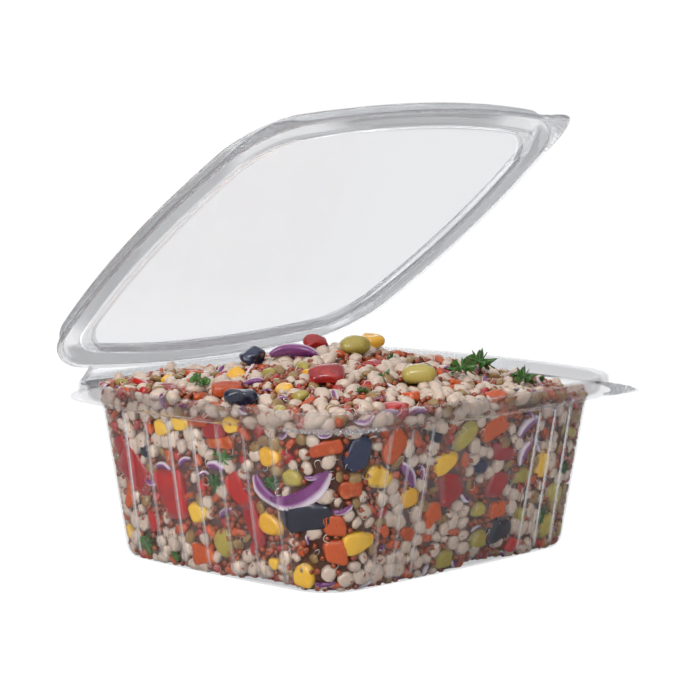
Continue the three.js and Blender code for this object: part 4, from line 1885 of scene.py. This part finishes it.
@dataclass(frozen=True)
class Grain:
    """Something small that is spread on the top and the sides: its finish, slot and piece."""

    name: str
    finish: str
    slot: str
    make: Callable[[], Body]
    spread: Spread


def barley_grain() -> Body:
    """Returns:
        A plump cooked grain with a crease along one side.
    """
    body = small_ball(1.0, 10, 7)
    x, y, z = body.points.T
    crease = np.exp(-((y / 0.3) ** 2)) * (z > 0) * 0.1
    body.points = np.column_stack([x * 3.4, y * 2.55 * (1 - 0.12 * x), (z - crease) * 2.1])
    return body


def lentil_disc() -> Body:
    """Returns:
        A small rounded disc.
    """
    body = small_ball(1.0, 12, 7)
    x, y, z = body.points.T
    edge = np.clip(1 - x * x - y * y, 0, 1) ** 0.4
    body.points = np.column_stack([x * 2.7, y * 2.5, np.sign(z) * edge * 1.25])
    return body


def quinoa_bead() -> Body:
    """Returns:
        A small flattened bead.
    """
    body = small_ball(1.28, 8, 5)
    body.points = body.points * (1.0, 1.0, 0.78)
    return body


def offcuts(kind: Kind, size: tuple[float, float, float], spread: Spread) -> Grain:
    """Describes small offcuts of a food, as something to spread."""
    name = {Kind.CARROT: "carrot", Kind.PEPPER: "pepper", Kind.ONION: "onion"}[kind] + "_bits"
    return Grain(name, kind.value, kind.value, lambda: Shapes(3).make(kind, size, 5), spread)


GRAINS = (
    offcuts(Kind.CARROT, (5.5, 3.0, 2.6), Spread(15, 31, 0.6)),
    offcuts(Kind.PEPPER, (4.6, 3.4, 2.2), Spread(14, 32, 0.5)),
    offcuts(Kind.ONION, (7.0, 2.0, 1.5), Spread(15, 33, 0.3)),
    Grain("barley", "barley", "salad", barley_grain, Spread(4.5, 21, 0.7, 0.8, 0.65, 1.25, 1.2, 0.39)),
    Grain("lentil", "lentil", "salad", lentil_disc, Spread(4.6, 22, 0.4, 0.8, 0.8, 1.15, 1.2, 0.4)),
    Grain("quinoa", "quinoa", "salad", quinoa_bead, Spread(2.6, 23, 0.1, 0.9, 0.8, 1.15, 0.6)),
    Grain("germ", "germ", "salad", lambda: curl(1.4, 0.14, 4.6), Spread(6.8, 24, -0.8, 0.9, 0.8, 1.2, 0.2)),
)


class Salad:
    """The heap of grains with its core, its chopped pieces and its toppings."""

    grain_press = 0.08
    bed_inset, bed_drop = 0.9, 1.0
    jostle_seed, jostle_length, jostle = 40, 3.1, 0.16
    topping_seed = 300

    def __init__(self) -> None:
        """Makes the room and the shapes that the salad is built from."""
        self.heap = Heap()
        self.shapes = Shapes()

    def build(self) -> None:
        """Builds and dresses all of the salad."""
        materials = {name: finish.material() for name, finish in FINISHES.items()}
        # The core gets the dark bed finish: painted shade in the gaps between the grains.
        core = self.heap.core().to_object("salad_core")
        dress(core, materials["bed"], BOX_BODY, ["salad"])
        tops = [t.build(self.shapes, materials, self.topping_seed + i) for i, t in enumerate(TOPPINGS)]
        food = ChoppedFood(self.heap, self.shapes)
        food.add_seen()
        food.add_hidden()
        food.add_top([t.place() for t in TOPPINGS])
        chopped = food.build(materials)
        self._grains(materials, [*tops, *chopped])

    def _grains(self, materials: dict[str, bpy.types.Material], large: list[bpy.types.Object]) -> None:
        """Spreads the grains and bits, the larger ones first.

        Args:
            materials: The finishes by name.
            large: The pieces that they stay clear of.
        """
        top, side = self.heap.surfaces(self.bed_inset, self.bed_drop)
        beds = {"top": top.to_object("bed_top"), "side": side.to_object("bed_side")}
        blockers = list(large)
        for number, grain in enumerate(GRAINS):
            seed_piece = grain.make().to_object(grain.name + "_seed")
            obstacle = self._obstacle(blockers)
            made = []
            for region, bed in beds.items():
                name = f"{grain.name}_{region}"
                spread = grain.spread
                piece = spread.build(bed, seed_piece, obstacle, name, materials[grain.finish])
                points = read_points(piece)
                points += Cloud(self.jostle_seed + number, self.jostle_length).at(points) * self.jostle
                write_points(piece, self.heap.pressed(points, self.grain_press))
                made.append(dress(piece, materials[grain.finish], BOX_BODY, ["salad"]))
            if grain.name != "germ":
                blockers.extend(made)
            remove(seed_piece, obstacle)
        remove(*beds.values())

    @staticmethod
    def _obstacle(pieces: Sequence[bpy.types.Object]) -> bpy.types.Object:
        """Joins pieces into one helper object to stay clear of.

        Args:
            pieces: The pieces.

        Returns:
            The helper object.
        """
        bodies = []
        for piece in pieces:
            faces = [tuple(polygon.vertices) for polygon in piece.data.polygons]
            points = read_points(piece)
            bodies.append(Body(points, faces, np.zeros(len(points))))
        return Body.joined(bodies).to_object("obstacle")


@dataclass(frozen=True)
class Lamp:
    """A soft rectangular light."""

    name: str
    place: tuple[float, float, float]
    size: tuple[float, float]
    power: float
    target: tuple[float, float, float] = (0.0, 0.0, 0.05)


@dataclass
class Studio:
    """Camera, lights, white surroundings and a pale floor."""

    eye: tuple[float, float, float] = (-0.6735, -0.6446, 0.1844)
    azimuth: float = -46.34
    elevation: float = 6.5675
    lens: float = 126.4
    sensor: float = 36.0
    floor_half: float = 6.0
    floor_glow: float = 0.97
    room_glow: float = 0.66
    side_shade: float = 0.6
    seen_glow: float = 1.02
    floor_drop: float = 0.15
    room_colour: tuple[float, float, float, float] = (0.97, 0.98, 1.0, 1.0)
    floor_dull: tuple[float, float, float, float] = (0.12, 0.12, 0.12, 1.0)
    floor_bounce: tuple[float, float, float, float] = (0.6, 0.6, 0.61, 1.0)
    lamps: tuple[Lamp, ...] = (
        Lamp("overhead", (-0.1, -0.1, 0.9), (0.9, 0.9), 1.3),
        Lamp("front_left", (-0.95, -0.1, 0.42), (0.45, 0.6), 4.2),
        Lamp("front_right", (0.15, -1.0, 0.42), (0.35, 0.6), 0.4),
        Lamp("key", (-0.75, -0.75, 0.75), (0.12, 0.12), 2.6),
        Lamp("behind", (0.5, 0.8, 0.5), (0.7, 0.5), 1.3),
    )

    def build(self) -> None:
        """Builds the studio."""
        self._camera()
        self._world()
        self._floor()
        for lamp in self.lamps:
            self._light(lamp)
        bpy.context.scene.view_settings.view_transform = "Standard"
        LOG.info("studio: %d lights", len(self.lamps))

    def _camera(self) -> None:
        """Places the camera at the photo's angle."""
        data = bpy.data.cameras.new("camera")
        data.lens = self.lens
        data.sensor_width = self.sensor
        data.clip_start, data.clip_end = 0.05, 50.0
        camera = linked("camera", data)
        turn, lift = math.radians(self.azimuth), math.radians(self.elevation)
        level = math.cos(lift)
        back = np.array([math.sin(turn) * level, -math.cos(turn) * level, math.sin(lift)])
        right = np.array([math.cos(turn), math.sin(turn), 0.0])
        upward = np.cross(back, right)
        matrix = Matrix.Identity(4)
        for i in range(3):
            matrix[i][0], matrix[i][1], matrix[i][2] = right[i], upward[i], back[i]
            matrix[i][3] = self.eye[i]
        camera.matrix_world = matrix
        bpy.context.scene.camera = camera

    def _world(self) -> None:
        """Makes the room: white where it is seen, and shaded at both sides in reflections."""
        turn = math.radians(self.azimuth)
        world = bpy.data.worlds.new("white_room")
        bpy.context.scene.world = world
        graph = Graph.emptied(world)
        heading = graph.add("SeparateXYZ", {}, {0: graph.add("TexCoord").out("Generated")})
        across = heading.out(0) * math.cos(turn) + heading.out(1) * math.sin(turn)
        side = (across * across).between(0.3, 0.75)
        strength = self.room_glow - side * self.side_shade
        room = graph.add("Background", {}, {"Color": self.room_colour, "Strength": strength})
        seen = graph.add("Background", {}, {"Color": (1.0, 1.0, 1.0, 1.0), "Strength": self.seen_glow})
        mixed = graph.either(graph.add("LightPath").out("Is Camera Ray"), room.out(0), seen.out(0))
        graph.add("OutputWorld", {}, {"Surface": mixed})

    def _floor(self) -> None:
        """Makes the floor: glowing where it is seen, and dull in reflections."""
        half = self.floor_half / MM
        corners = np.array([(x * half, y * half, 0) for x, y in ((-1, -1), (1, -1), (1, 1), (-1, 1))])
        sheet = Body(corners - (0, 0, self.floor_drop), [(0, 1, 2, 3)], np.zeros(4))
        floor = sheet.to_object("floor", False)
        material = bpy.data.materials.new("floor_white")
        graph = Graph.emptied(material)
        glow = graph.add("Emission", {}, {"Strength": self.floor_glow})
        dull = graph.add("BsdfDiffuse", {}, {"Color": self.floor_dull})
        seen = graph.add("AddShader", {}, {0: glow.out(0), 1: dull.out(0)})
        bounced = graph.add("BsdfDiffuse", {}, {"Color": self.floor_bounce})
        paper = graph.either(graph.add("LightPath").out("Is Camera Ray"), bounced.out(0), seen.out(0))
        graph.add("OutputMaterial", {}, {"Surface": paper})
        floor.data.materials.append(material)

    @staticmethod
    def _light(lamp: Lamp) -> None:
        """Places a lamp and turns it to its target."""
        data = bpy.data.lights.new(lamp.name, "AREA")
        data.shape = "RECTANGLE"
        data.size, data.size_y = lamp.size
        data.energy = lamp.power
        toward = np.array(lamp.target) - lamp.place
        turn = _aim(toward / np.linalg.norm(toward)).to_4x4()
        linked(lamp.name, data).matrix_world = Matrix.Translation(lamp.place) @ turn


def _aim(toward: np.ndarray) -> Matrix:
    """Args:
        toward: A unit vector.

    Returns:
        The rotation that points -Z along it.
    """
    back = -toward
    right = np.cross((0.0, 0.0, 1.0), back)
    if np.linalg.norm(right) < 1e-6:
        right = np.array([1.0, 0.0, 0.0])
    right /= np.linalg.norm(right)
    upward = np.cross(back, right)
    return Matrix([(right[i], upward[i], back[i]) for i in range(3)])


def main() -> None:
    """Builds the scene over the CAD frame."""
    logging.basicConfig(level=logging.INFO, format="%(message)s")
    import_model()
    Tub().build(ClearFinish().material())
    # The lid's copy of the plastic has a darker pane than the tub's: painted shade that greys the view
    # through the tilted lid.
    Lid().build(ClearFinish("clear_plastic_lid", pane=(0.885, 0.886, 0.895, 1.0)).material())
    Salad().build()
    Studio().build()
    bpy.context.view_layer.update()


if __name__ == "__main__":
    main()
